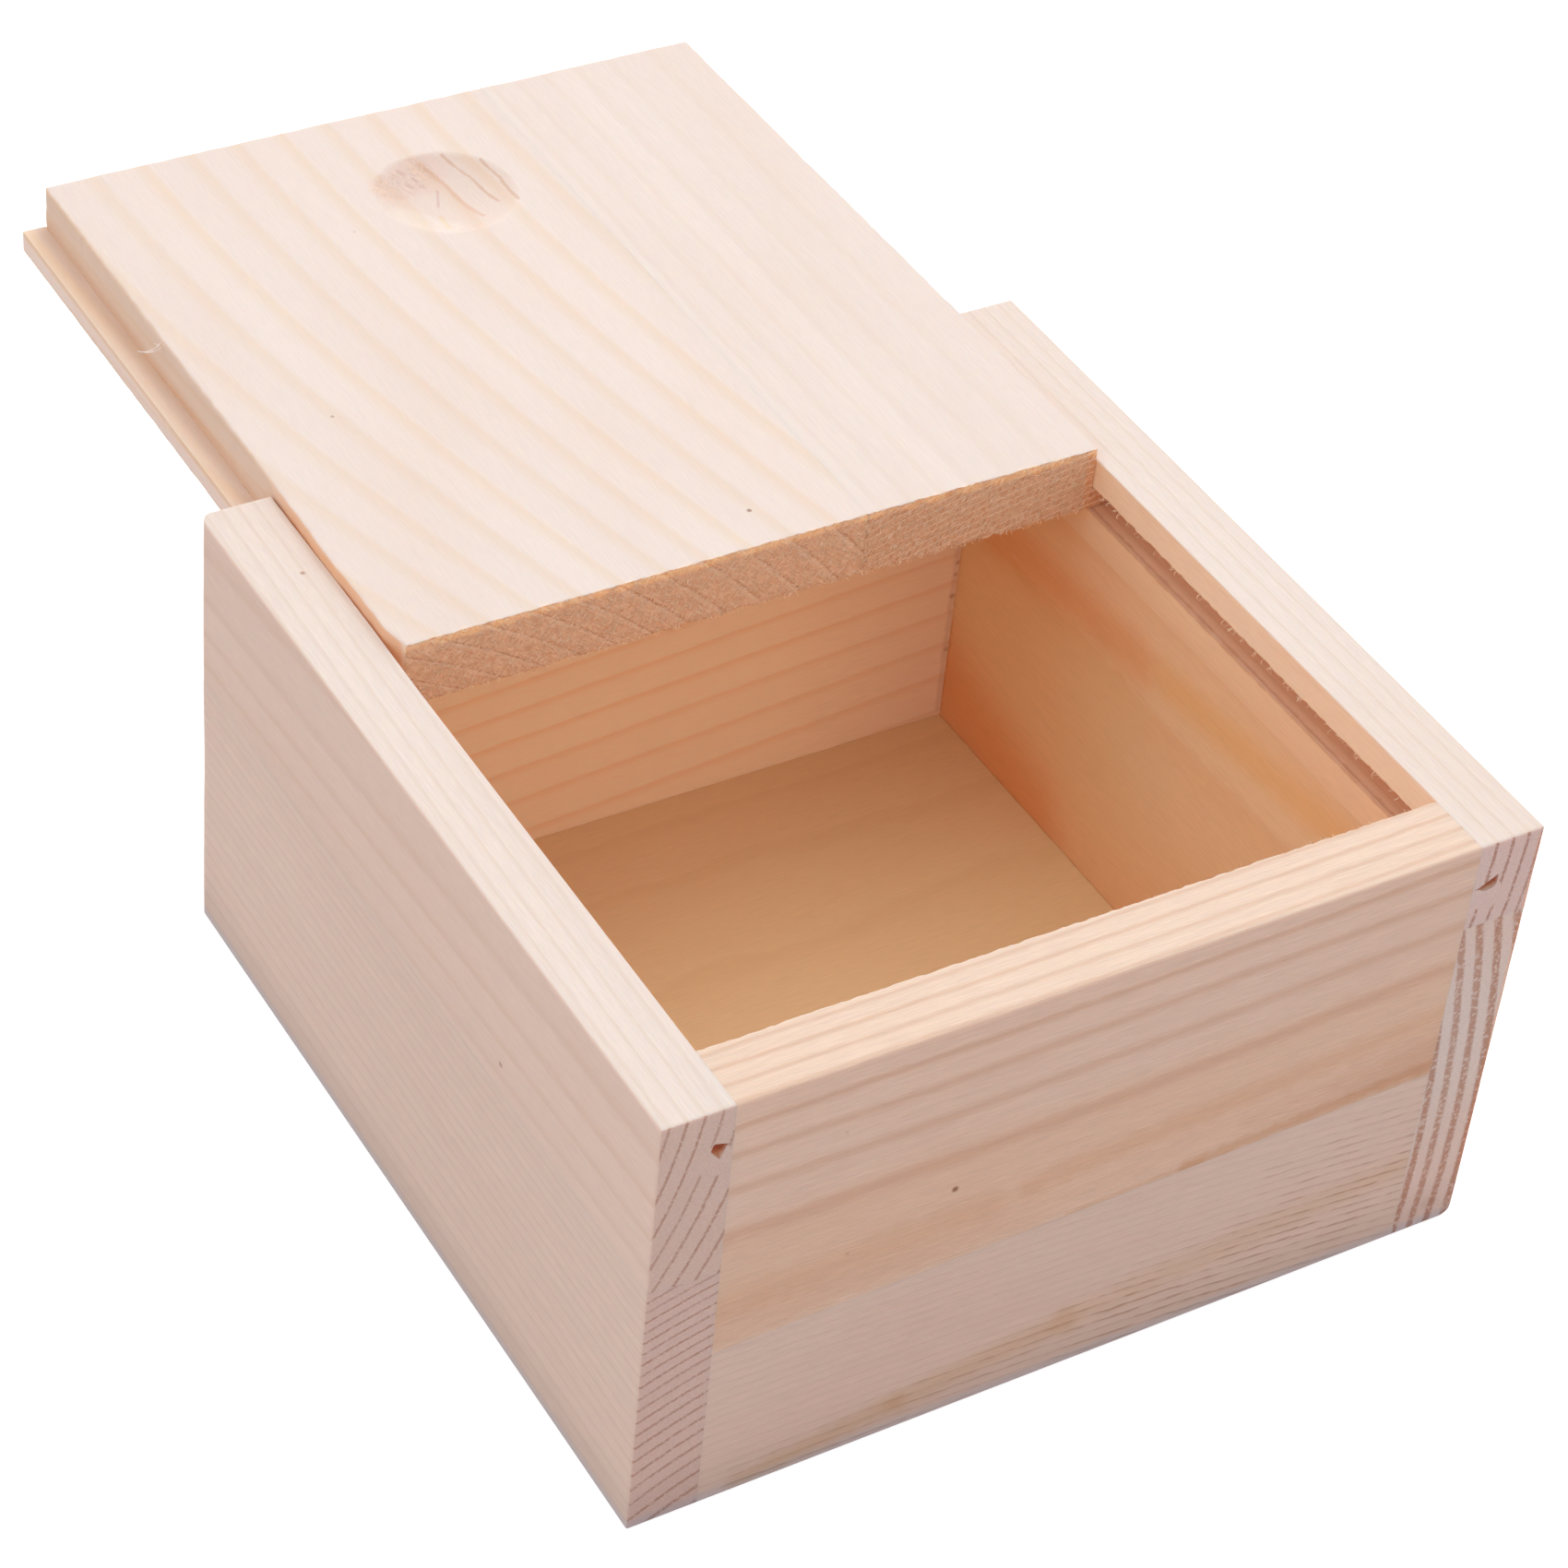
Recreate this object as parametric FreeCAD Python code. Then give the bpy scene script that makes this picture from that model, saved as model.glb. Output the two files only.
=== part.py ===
import FreeCAD, Part
import os

# Sliding lid box of planed pine, in millimetres. +X is the right-hand side, the front board is at -Y,
# the lid slides out past the back board towards +Y, and +Z is up. The origin is the middle of the
# underside of the box. The lid stands partly drawn back.

# The box, outside.
BOX_WIDTH = 101.0
BOX_LENGTH = 101.0
BOX_HEIGHT = 55.0

# Its boards. The front and back boards stand between the two sides, the floor panel between all four.
SIDE_THICKNESS = 7.9
FRONT_THICKNESS = 7.9
BACK_THICKNESS = 7.6
FLOOR_THICKNESS = 2.0

# The lid: a board with a tongue along each long edge, level with its underside.
LID_LENGTH = 91.9
LID_WIDTH = 83.4
LID_THICKNESS = 8.0
TONGUE_WIDTH = 2.75
TONGUE_THICKNESS = 2.65
LID_DRAWN_BACK = 62.6
LID_STOP_GAP = 0.1

# The grooves that the tongues run in, and the play that lets them run.
GROOVE_LEVEL = 48.4
GROOVE_HEIGHT = 2.8
GROOVE_DEPTH = 3.0
LID_LIFT = 0.05
BACK_BOARD_PLAY = 0.25

# The pegs that stop the front ends of the grooves, standing clear of the closed lid.
PEG_RADIUS = 1.35
PEG_LENGTH = 7.5
PEG_FROM_CENTRE = 44.55
PEG_LEVEL = 48.3

# The round finger recess in the lid's top.
RECESS_RADIUS = 8.4
RECESS_DEPTH = 2.3
RECESS_FROM_REAR_EDGE = 18.7

# Glue seams of the boards that are made of two strips: heights in the walls, and the distance of the
# lid's seam from its middle. The seams were sawn a little out of true.
LEFT_SEAM_OUTSIDE = 33.6
LEFT_SEAM_INSIDE = 32.9
RIGHT_SEAM_OUTSIDE = 44.2
RIGHT_SEAM_INSIDE = 44.0
FRONT_SEAM_AT_LEFT = 21.6
FRONT_SEAM_AT_RIGHT = 23.9
LID_SEAM_AT_FRONT = 13.3
LID_SEAM_AT_REAR = 13.9

# Sanded radii of the outside edges. Four edges run along each axis; seen along it, they are given in
# the order low-low, high-low, high-high, low-high of the other two axes.
EDGES_ALONG_X = (1.3, 1.0, 0.4, 0.3)
EDGES_ALONG_Y = (0.7, 2.3, 0.4, 0.35)
EDGES_ALONG_Z = (0.35, 0.5, 0.8, 1.9)
LID_EDGE = 0.3
LID_CORNER = 0.5

# Planes that follow from the dimensions above.
HALF_WIDTH = BOX_WIDTH / 2
HALF_LENGTH = BOX_LENGTH / 2
INNER_X = HALF_WIDTH - SIDE_THICKNESS
FRONT_INNER_Y = -HALF_LENGTH + FRONT_THICKNESS
BACK_INNER_Y = HALF_LENGTH - BACK_THICKNESS
LID_UNDERSIDE = GROOVE_LEVEL + LID_LIFT
LID_TOP = LID_UNDERSIDE + LID_THICKNESS
BACK_TOP = LID_UNDERSIDE - BACK_BOARD_PLAY
LID_FRONT_Y = FRONT_INNER_Y + LID_STOP_GAP + LID_DRAWN_BACK
LID_REAR_Y = LID_FRONT_Y + LID_LENGTH

FAR = 300.0
X_AXIS, Y_AXIS, Z_AXIS = range(3)


def block(low, high):
    """A plain block between two opposite corners."""
    size = [top - bottom for bottom, top in zip(low, high)]
    return Part.makeBox(*size, FreeCAD.Vector(*low))


def rounded_prism(low, high, axis, radii):
    """A block whose four edges along one axis are rounded, each by its own radius."""
    solid = block(low, high)
    first, second = [index for index in range(3) if index != axis]
    corners = (
        (low[first], low[second]),
        (high[first], low[second]),
        (high[first], high[second]),
        (low[first], high[second]),
    )
    for (u, v), radius in zip(corners, radii):
        edge = next(
            edge
            for edge in solid.Edges
            if all(
                abs(vertex.Point[first] - u) < 1e-6 and abs(vertex.Point[second] - v) < 1e-6
                for vertex in edge.Vertexes
            )
        )
        solid = solid.makeFillet(radius, [edge])
    return solid


def sanded_block(low, high, along_x, along_y, along_z):
    """A block with all twelve edges rounded over."""
    solid = rounded_prism(low, high, X_AXIS, along_x)
    solid = solid.common(rounded_prism(low, high, Y_AXIS, along_y))
    return solid.common(rounded_prism(low, high, Z_AXIS, along_z))


def beyond(point, normal):
    """Everything on the side of a plane that its normal points to."""
    half = Part.makeBox(2 * FAR, 2 * FAR, FAR, FreeCAD.Vector(-FAR, -FAR, 0))
    turn = FreeCAD.Rotation(FreeCAD.Vector(0, 0, 1), normal)
    half.Placement = FreeCAD.Placement(FreeCAD.Vector(*point), turn)
    return half


def single(shape):
    """The one solid of a cut shape, with its flush faces joined."""
    solids = shape.removeSplitter().Solids
    assert len(solids) == 1, "a piece fell apart"
    return solids[0]


def sanded_outside():
    """The outside of the whole box, which every wall board is cut to."""
    low = (-HALF_WIDTH, -HALF_LENGTH, 0)
    high = (HALF_WIDTH, HALF_LENGTH, BOX_HEIGHT)
    return sanded_block(low, high, EDGES_ALONG_X, EDGES_ALONG_Y, EDGES_ALONG_Z)


def peg(side):
    """The round peg in the front end of one side's groove."""
    foot = FreeCAD.Vector(side * PEG_FROM_CENTRE, -HALF_LENGTH, PEG_LEVEL)
    return Part.makeCylinder(PEG_RADIUS, PEG_LENGTH, foot, FreeCAD.Vector(0, 1, 0))


def side_board(outside, side):
    """A side board, grooved for the lid and bored for its peg. side is -1 on the left, 1 on the right."""
    near, far = sorted((side * INNER_X, side * HALF_WIDTH))
    board = outside.common(block((near, -HALF_LENGTH, 0), (far, HALF_LENGTH, BOX_HEIGHT)))
    near, far = sorted((side * (INNER_X - GROOVE_DEPTH), side * (INNER_X + GROOVE_DEPTH)))
    groove = block((near, -FAR, GROOVE_LEVEL), (far, FAR, GROOVE_LEVEL + GROOVE_HEIGHT))
    return board.cut(groove).cut(peg(side))


def side_strips(outside, side, seam_outside, seam_inside):
    """The upper and the lower strip of a side board."""
    board = side_board(outside, side)
    seam = (side * HALF_WIDTH, 0, seam_outside)
    rise = (seam_outside - seam_inside) / SIDE_THICKNESS
    above = beyond(seam, FreeCAD.Vector(-side * rise, 0, 1))
    return single(board.common(above)), single(board.cut(above))


def front_strips(outside):
    """The upper and the lower strip of the front board."""
    low = (-INNER_X, -HALF_LENGTH, 0)
    high = (INNER_X, FRONT_INNER_Y, BOX_HEIGHT)
    board = outside.common(block(low, high))
    rise = (FRONT_SEAM_AT_RIGHT - FRONT_SEAM_AT_LEFT) / (2 * INNER_X)
    above = beyond((-INNER_X, 0, FRONT_SEAM_AT_LEFT), FreeCAD.Vector(-rise, 0, 1))
    return single(board.common(above)), single(board.cut(above))


def back_board(outside):
    """The back board, low enough for the lid to pass over it."""
    low = (-INNER_X, BACK_INNER_Y, 0)
    high = (INNER_X, HALF_LENGTH, BACK_TOP)
    return single(outside.common(block(low, high)))


def floor_panel():
    """The thin panel let in between the four walls, level with their undersides."""
    return block((-INNER_X, FRONT_INNER_Y, 0), (INNER_X, BACK_INNER_Y, FLOOR_THICKNESS))


def lid_strips():
    """The wide and the narrow strip of the lid."""
    half = LID_WIDTH / 2
    low = (-half, LID_FRONT_Y, LID_UNDERSIDE)
    high = (half, LID_REAR_Y, LID_TOP)
    board = sanded_block(low, high, [LID_EDGE] * 4, [LID_EDGE] * 4, [LID_CORNER] * 4)
    half += TONGUE_WIDTH
    low = (-half, LID_FRONT_Y, LID_UNDERSIDE)
    high = (half, LID_REAR_Y, LID_UNDERSIDE + TONGUE_THICKNESS)
    board = board.fuse(block(low, high))
    bowl_radius = (RECESS_RADIUS ** 2 + RECESS_DEPTH ** 2) / (2 * RECESS_DEPTH)
    bowl_level = LID_TOP + bowl_radius - RECESS_DEPTH
    bowl_centre = FreeCAD.Vector(0, LID_REAR_Y - RECESS_FROM_REAR_EDGE, bowl_level)
    board = board.cut(Part.makeSphere(bowl_radius, bowl_centre))
    drift = (LID_SEAM_AT_REAR - LID_SEAM_AT_FRONT) / LID_LENGTH
    right_of_seam = beyond((LID_SEAM_AT_FRONT, LID_FRONT_Y, 0), FreeCAD.Vector(1, -drift, 0))
    return single(board.cut(right_of_seam)), single(board.common(right_of_seam))


def build():
    """Every piece of the box, by name."""
    outside = sanded_outside()
    left_upper, left_lower = side_strips(outside, -1, LEFT_SEAM_OUTSIDE, LEFT_SEAM_INSIDE)
    right_upper, right_lower = side_strips(outside, 1, RIGHT_SEAM_OUTSIDE, RIGHT_SEAM_INSIDE)
    front_upper, front_lower = front_strips(outside)
    lid_wide, lid_narrow = lid_strips()
    return {
        "left_side_upper_strip": left_upper,
        "left_side_lower_strip": left_lower,
        "right_side_upper_strip": right_upper,
        "right_side_lower_strip": right_lower,
        "front_upper_strip": front_upper,
        "front_lower_strip": front_lower,
        "back_board": back_board(outside),
        "floor_panel": floor_panel(),
        "left_groove_peg": peg(-1),
        "right_groove_peg": peg(1),
        "lid_wide_strip": lid_wide,
        "lid_narrow_strip": lid_narrow,
    }


os.makedirs("parts", exist_ok=True)
for node, solid in build().items():
    assert solid.isValid() and solid.isClosed(), node
    solid.exportStep(f"parts/{node}.step")
    print(f"{node}: {solid.Volume:.1f} mm3")
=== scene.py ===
import math

import bpy
import numpy as np
from mathutils import Matrix, Vector


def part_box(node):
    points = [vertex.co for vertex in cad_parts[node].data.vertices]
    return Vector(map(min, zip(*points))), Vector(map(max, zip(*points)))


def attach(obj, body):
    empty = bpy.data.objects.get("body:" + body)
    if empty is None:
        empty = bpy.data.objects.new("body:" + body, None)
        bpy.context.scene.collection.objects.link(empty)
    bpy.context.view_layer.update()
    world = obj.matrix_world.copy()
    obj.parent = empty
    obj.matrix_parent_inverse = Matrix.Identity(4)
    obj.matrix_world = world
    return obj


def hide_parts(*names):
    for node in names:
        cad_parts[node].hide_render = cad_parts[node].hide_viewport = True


# A small box of planed pine whose lid slides in two grooves, shown with the lid drawn well back. The
# boards are built once more around the frame, with worn arrises, torn fibres and grain that runs right
# through each strip. Lengths are in millimetres and become metres when a mesh is made.
MM = 0.001
TO_MM = (1 / MM,) * 3

X, Y, Z = range(3)
# Which world axis each of a board's own directions is: across, up and along the grain.
ALONG_Y = (X, Z, Y)
ALONG_X = (Y, Z, X)
SIDE_WORDS = {-1: "left", 1: "right"}

# The inner faces of the side boards and of the front board.
WALL_INNER = 42.6
FRONT_INNER = -WALL_INNER

# Grooves, lips and tongues.
GROOVE_LEVEL = 48.4
GROOVE_TOP = 51.2
GROOVE_DEPTH = 3.0
LIP_HEIGHT = 3.8
TONGUE_TOP = 51.1
LID_HALF_WIDTH = 41.7
LID_SIDE_HEIGHT = 5.35

# Glue seams, each with its level or place at its two ends, and how far beside them a board gives way.
LEFT_SEAM = (33.6, 32.9)
RIGHT_SEAM = (44.2, 44.0)
FRONT_SEAM = (21.6, 23.9)
LID_SEAM = (13.3, 13.9)
SEAM_REACH = 5.0

# The pegs that close the front ends of the grooves.
PEG_FROM_CENTRE = 44.55
PEG_LEVEL = 48.3
PEG_RADIUS = 1.35
PEG_LENGTH = 7.5
PEG_PLAY = 0.02
PEG_SUNK = 0.03
PEG_ROUGHNESS = 0.02
PEG_PITCH = 0.4

# The finger recess. Points this close to its rim are moved onto it.
RECESS_RADIUS = 8.4
RECESS_DEPTH = 2.3
RECESS_FROM_REAR = 18.7
RIM_CATCH = 0.16

# How finely boards are divided: along a plain stretch, where detail is worked, and next to an arris,
# from which each step is wider than the last.
COARSE = 0.75
WORKED = 0.4
FINE = 0.12
WIDENING = 1.4
# Points closer than this to a face are on it.
LEVEL = 1e-6


# ---------------------------------------------------------------- measuring the frame

def box_mm(*nodes):
    """The lowest and the highest corner of some CAD nodes together."""
    corners = [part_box(node) for node in nodes]
    low = [min(pair[0][axis] for pair in corners) / MM for axis in range(3)]
    high = [max(pair[1][axis] for pair in corners) / MM for axis in range(3)]
    return low, high


# ---------------------------------------------------------------- uneven lines and faces

def uneven_line(places, pitch, seed):
    """A jagged line of chance values, about -1 to 1, read at some places."""
    random = np.random.default_rng(seed)
    low = math.floor(places.min() / pitch) - 1
    count = math.ceil(places.max() / pitch) + 2 - low
    return np.interp(places / pitch, np.arange(low, low + count), random.uniform(-1, 1, count))


def uneven_face(u, v, pitch, seed):
    """A surface of smooth chance values, about -1 to 1, read at some places."""
    random = np.random.default_rng(seed)
    u = (u - u.min()) / pitch
    v = (v - v.min()) / pitch
    table = random.uniform(-1, 1, (int(u.max()) + 2, int(v.max()) + 2))
    i = u.astype(int)
    j = v.astype(int)
    a = u - i
    b = v - j
    a = a * a * (3 - 2 * a)
    b = b * b * (3 - 2 * b)
    near = table[i, j] * (1 - a) + table[i + 1, j] * a
    far = table[i, j + 1] * (1 - a) + table[i + 1, j + 1] * a
    return near * (1 - b) + far * b


# ---------------------------------------------------------------- boards

def divided(breaks, coarse=COARSE):
    """Stations through all the breaks, close together beside each of them. coarse is one spacing, or
    one for each stretch."""
    spacings = coarse if isinstance(coarse, tuple) else (coarse,) * (len(breaks) - 1)
    stations = [breaks[0]]
    for low, high, spacing in zip(breaks, breaks[1:], spacings):
        half = (high - low) / 2
        steps = [0.0]
        gap = FINE
        while steps[-1] + gap < half:
            steps.append(steps[-1] + gap)
            gap = min(spacing, gap * WIDENING)
        lows = [low + step for step in steps]
        highs = [high - step for step in reversed(steps)]
        if highs[0] - lows[-1] < FINE / 2:
            highs = highs[1:]
        stations += lows[1:] + highs
    return stations


def skin_of_cells(across, up, along, filled=lambda u, w: True):
    """Points and quads of the skin of a board that is solid wherever filled(across, up) is true."""
    cells = {
        (i, j)
        for i in range(len(across) - 1)
        for j in range(len(up) - 1)
        if filled((across[i] + across[i + 1]) / 2, (up[j] + up[j + 1]) / 2)
    }
    numbers = {}
    points = []

    def corner(i, j, k):
        if (i, j, k) not in numbers:
            numbers[i, j, k] = len(points)
            points.append((across[i], up[j], along[k]))
        return numbers[i, j, k]

    quads = []
    last = len(along) - 1
    for i, j in sorted(cells):
        sides = (
            ((i - 1, j), (i, j + 1), (i, j)),
            ((i + 1, j), (i + 1, j), (i + 1, j + 1)),
            ((i, j - 1), (i, j), (i + 1, j)),
            ((i, j + 1), (i + 1, j + 1), (i, j + 1)),
        )
        for neighbour, a, b in sides:
            if neighbour not in cells:
                for k in range(last):
                    quads.append((corner(*a, k), corner(*b, k), corner(*b, k + 1), corner(*a, k + 1)))
        for k, turn in ((0, -1), (last, 1)):
            cap = (corner(i, j, k), corner(i + 1, j, k), corner(i + 1, j + 1, k), corner(i, j + 1, k))
            quads.append(cap[::turn])
    return np.array(points), quads


def laid(points, order):
    """Board points (across, up, along) as x, y, z."""
    turned = np.empty_like(points)
    for column, axis in enumerate(order):
        turned[:, axis] = points[:, column]
    return turned


def ease(points, arrises, seed):
    """Rounds arrises over. Each is (axis it runs along, place of the edge, way into the wood, radius,
    raggedness, pitch of the ragged bits), with places and ways given for the other two axes in order,
    and then where along its axis it starts, if that isn't at the board's end."""
    for number, (axis, place, inward, radius, ragged, pitch, *start) in enumerate(arrises):
        first, second = [other for other in range(3) if other != axis]
        size = radius * (1 + ragged * uneven_line(points[:, axis], pitch, seed * 100 + number))
        depth_1 = (points[:, first] - place[0]) * inward[0]
        depth_2 = (points[:, second] - place[1]) * inward[1]
        short_1 = size - depth_1
        short_2 = size - depth_2
        length = np.hypot(short_1, short_2)
        hit = (short_1 > 0) & (short_2 > 0) & (length > size) & (depth_1 > -LEVEL) & (depth_2 > -LEVEL)
        if start:
            hit &= points[:, axis] > start[0]
        pull = size[hit] / length[hit]
        points[hit, first] = place[0] + inward[0] * (size[hit] - short_1[hit] * pull)
        points[hit, second] = place[1] + inward[1] * (size[hit] - short_2[hit] * pull)


def lean_seam(points, axis, level, ends, along, span):
    """Turns a board's seam face, which lies at one level of an axis, to run from one end's level to the
    other's. The rest of the board stays where it is."""
    share = (points[:, along] - span[0]) / (span[1] - span[0])
    target = ends[0] + (ends[1] - ends[0]) * share
    near = np.clip(1 - np.abs(points[:, axis] - level) / SEAM_REACH, 0, 1)
    points[:, axis] += (target - level) * near


def fray_end(points, axis, level, inward, depth, pitch, seed):
    """Roughens an end face that was sawn across the fibres, inwards only."""
    on_end = np.abs(points[:, axis] - level) < LEVEL
    u, v = [points[on_end, other] for other in range(3) if other != axis]
    rough = uneven_face(u, v, pitch, seed) * 0.6 + uneven_face(u, v, pitch * 2.7, seed + 1) * 0.4
    points[on_end, axis] += inward * depth * (rough + 1) / 2


def volume_sign(points, faces):
    """1 where a closed mesh of quads points outwards, and -1 where it points inwards."""
    corners = points[np.array(faces)]
    return np.sign(np.einsum("ij,ij->i", corners[:, 0], np.cross(corners[:, 1], corners[:, 2])).sum())


def mesh_object(name, points, faces):
    """A new object at the origin, its mesh in metres."""
    mesh = bpy.data.meshes.new(name)
    mesh.from_pydata((points * MM).tolist(), [], faces)
    mesh.update()
    piece = bpy.data.objects.new(name, mesh)
    bpy.context.scene.collection.objects.link(piece)
    return piece


def board_object(name, points, quads):
    """A board's object, its faces turned out."""
    if volume_sign(points, quads) < 0:
        quads = [quad[::-1] for quad in quads]
    return mesh_object(name, points, quads)


def baked(piece):
    """Replaces an object's mesh by its evaluated one, and takes its modifiers off."""
    graph = bpy.context.evaluated_depsgraph_get()
    result = bpy.data.meshes.new_from_object(piece.evaluated_get(graph))
    piece.modifiers.clear()
    piece.data = result
    return piece


def cut_away(piece, cutter):
    """Cuts one closed mesh out of another."""
    modifier = piece.modifiers.new("cut", "BOOLEAN")
    modifier.operation = "DIFFERENCE"
    modifier.solver = "EXACT"
    modifier.object = cutter
    baked(piece)
    bpy.data.objects.remove(cutter)


def round_bar(centre, radius, front, rear, segments=40, circles=7, stations=14):
    """Points and faces of a round bar along Y, its front end divided into circles."""
    rows = [(radius * (ring + 1) / circles, front) for ring in range(circles)]
    rows += [(radius, front + (rear - front) * station / stations) for station in range(1, stations + 1)]
    turns = [2 * math.pi * number / segments for number in range(segments)]
    points = [
        (centre[0] + reach * math.cos(turn), y, centre[1] + reach * math.sin(turn))
        for reach, y in rows
        for turn in turns
    ]
    middle = len(points)
    points += [(centre[0], front, centre[1]), (centre[0], rear, centre[1])]
    last = middle - segments
    faces = [
        (row + k, row + (k + 1) % segments, row + segments + (k + 1) % segments, row + segments + k)
        for row in range(0, last, segments)
        for k in range(segments)
    ]
    faces += [(middle, (k + 1) % segments, k) for k in range(segments)]
    faces += [(middle + 1, last + k, last + (k + 1) % segments) for k in range(segments)]
    return np.array(points, float), faces


# ---------------------------------------------------------------- the pieces of wood

# The sanded outside edges of the whole box. Each axis has four, in the order low-low, high-low,
# high-high and low-high of the other two axes.
OUTSIDE_RADII = {X: (0.25, 0.6, 0.4, 0.3), Y: (0.2, 2.1, 0.4, 0.35), Z: (0.35, 0.5, 0.8, 1.9)}
OUTSIDE_RAGGED = 0.07
OUTSIDE_PITCH = 4.0


def outside_arrises():
    """The outside edges of the box as arrises."""
    corners = box_mm("left_side_lower_strip", "right_side_upper_strip")
    arrises = []
    for axis, radii in OUTSIDE_RADII.items():
        first, second = [other for other in range(3) if other != axis]
        for (at_first, at_second), radius in zip(((0, 0), (1, 0), (1, 1), (0, 1)), radii):
            place = (corners[at_first][first], corners[at_second][second])
            inward = (1 - 2 * at_first, 1 - 2 * at_second)
            arrises.append((axis, place, inward, radius, OUTSIDE_RAGGED, OUTSIDE_PITCH))
    return arrises


# How far the lip over the left groove leans in over the lid, along the board, and the share of that
# which its lower edge has.
LIP_LEAN = ((-50.5, 0.0), (-42.6, 0.0), (15.0, 0.15), (26.0, 0.34), (36.0, 0.38), (50.5, 0.36))
LIP_LEAN_BELOW = 0.4


def bow_lip(points, side, inner):
    """Leans a lip in a little towards the lid."""
    on_lip = (np.abs(points[:, X] - inner) < LEVEL) & (points[:, Z] > GROOVE_TOP - LEVEL)
    lean = np.interp(points[on_lip, Y], *zip(*LIP_LEAN))
    height = (points[on_lip, Z] - GROOVE_TOP) / LIP_HEIGHT
    points[on_lip, X] -= side * lean * (LIP_LEAN_BELOW + (1 - LIP_LEAN_BELOW) * height)


# The small hole that is left beside each peg where the groove comes out at the front: distance from the
# board's inner face, and the level of the hole's floor and of its roof there.
GROOVE_MOUTH_FLOOR = {
    -1: ((0.0, 50.25), (0.6, 50.3), (0.92, 49.4), (1.35, 48.62), (2.0, 49.35), (2.38, 49.9)),
    1: ((0.0, 49.15), (0.6, 49.22), (1.6, 48.65), (2.6, 48.75), (3.0, 49.3)),
}
GROOVE_MOUTH_ROOF = {
    -1: ((0.0, 50.27), (0.6, 50.34), (0.92, 50.5), (2.0, 50.82), (2.2, 50.6), (2.38, 49.95)),
    1: ((0.0, 49.17), (0.6, 49.32), (1.6, 49.8), (2.9, 50.5), (3.0, 50.4)),
}
# How far along the groove it is squeezed, and how soon it opens behind the mouth.
MOUTH_REACH = 2.2
MOUTH_OPENING = 0.6


def mouth_levels(side, distance):
    """The floor and the roof of the hole at the front, at some distances from the inner face."""
    return [np.interp(distance, *zip(*line[side])) for line in (GROOVE_MOUTH_FLOOR, GROOVE_MOUTH_ROOF)]


def squeeze_groove_mouth(points, side, inner, front):
    """Closes a groove's front end down to the small hole."""
    near = np.clip(1 - (points[:, Y] - front) / MOUTH_REACH, 0, 1) ** MOUTH_OPENING
    distance = (points[:, X] - inner) * side
    mouth_depth = GROOVE_MOUTH_FLOOR[side][-1][0]
    new_distance = distance * mouth_depth / GROOVE_DEPTH
    floor, roof = mouth_levels(side, new_distance)
    share = np.clip((points[:, Z] - GROOVE_LEVEL) / (GROOVE_TOP - GROOVE_LEVEL), 0, 1)
    on_back = np.abs(distance - GROOVE_DEPTH) < LEVEL
    on_skin = (np.abs(share) < LEVEL) | (np.abs(share - 1) < LEVEL) | on_back
    on_level = (points[:, Z] > GROOVE_LEVEL - LEVEL) & (points[:, Z] < GROOVE_TOP + LEVEL)
    hit = on_skin & on_level & (distance > -LEVEL) & (distance < GROOVE_DEPTH + LEVEL)
    level = floor + (roof - floor) * share
    points[hit, Z] += ((level - points[:, Z]) * near)[hit]
    points[hit, X] += (side * (new_distance - distance) * near)[hit]


def side_strip(side, upper):
    """One strip of a side board. side is -1 on the left and 1 on the right."""
    word = SIDE_WORDS[side]
    low, high = box_mm(f"{word}_side_upper_strip", f"{word}_side_lower_strip")
    seam_ends = LEFT_SEAM if side < 0 else RIGHT_SEAM[::-1]
    seam = sum(seam_ends) / 2
    inner, outer = (high[X], low[X]) if side < 0 else (low[X], high[X])
    groove_back = inner + side * GROOVE_DEPTH

    def filled(x, z):
        return not (GROOVE_LEVEL < z < GROOVE_TOP and (x - groove_back) * side < 0)

    across = divided(sorted((inner, groove_back, outer)), coarse=0.6)
    up = divided((seam, GROOVE_LEVEL, GROOVE_TOP, high[Z]) if upper else (low[Z], seam))
    along = divided((low[Y], high[Y]), coarse=WORKED if upper else COARSE)
    points, quads = skin_of_cells(across, up, along, filled)
    points = laid(points, ALONG_Y)
    arrises = outside_arrises()
    if upper:
        squeeze_groove_mouth(points, side, inner, low[Y])
        if side < 0:
            bow_lip(points, side, inner)
        arrises += [
            (Y, (inner, high[Z]), (side, -1), 0.14, 0.7, 0.6, FRONT_INNER),
            (Y, (inner, GROOVE_TOP), (side, 1), 0.24, 0.95, 0.5, FRONT_INNER),
            (Y, (inner, GROOVE_LEVEL), (side, -1), 0.12, 0.6, 0.6, FRONT_INNER),
        ]
    ease(points, arrises, seed=11 + side)
    lean_seam(points, Z, seam, seam_ends, X, sorted((outer, inner)))
    piece = board_object(f"{word}_side_{'upper' if upper else 'lower'}_wood", points, quads)
    if upper:
        peg_centre = (side * PEG_FROM_CENTRE, PEG_LEVEL)
        bore = round_bar(peg_centre, PEG_RADIUS, low[Y] - 1, low[Y] + PEG_LENGTH)
        cut_away(piece, mesh_object("peg_bore", *bore))
    return piece


def cross_board(low, high, arrises, seed, across=COARSE, along=COARSE):
    """Points and quads of a board that fills a box, its grain along X."""
    spacings = (across, COARSE, along)
    stations = [divided((low[axis], high[axis]), coarse) for axis, coarse in zip(ALONG_X, spacings)]
    points, quads = skin_of_cells(*stations)
    points = laid(points, ALONG_X)
    ease(points, arrises, seed)
    return points, quads


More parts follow.
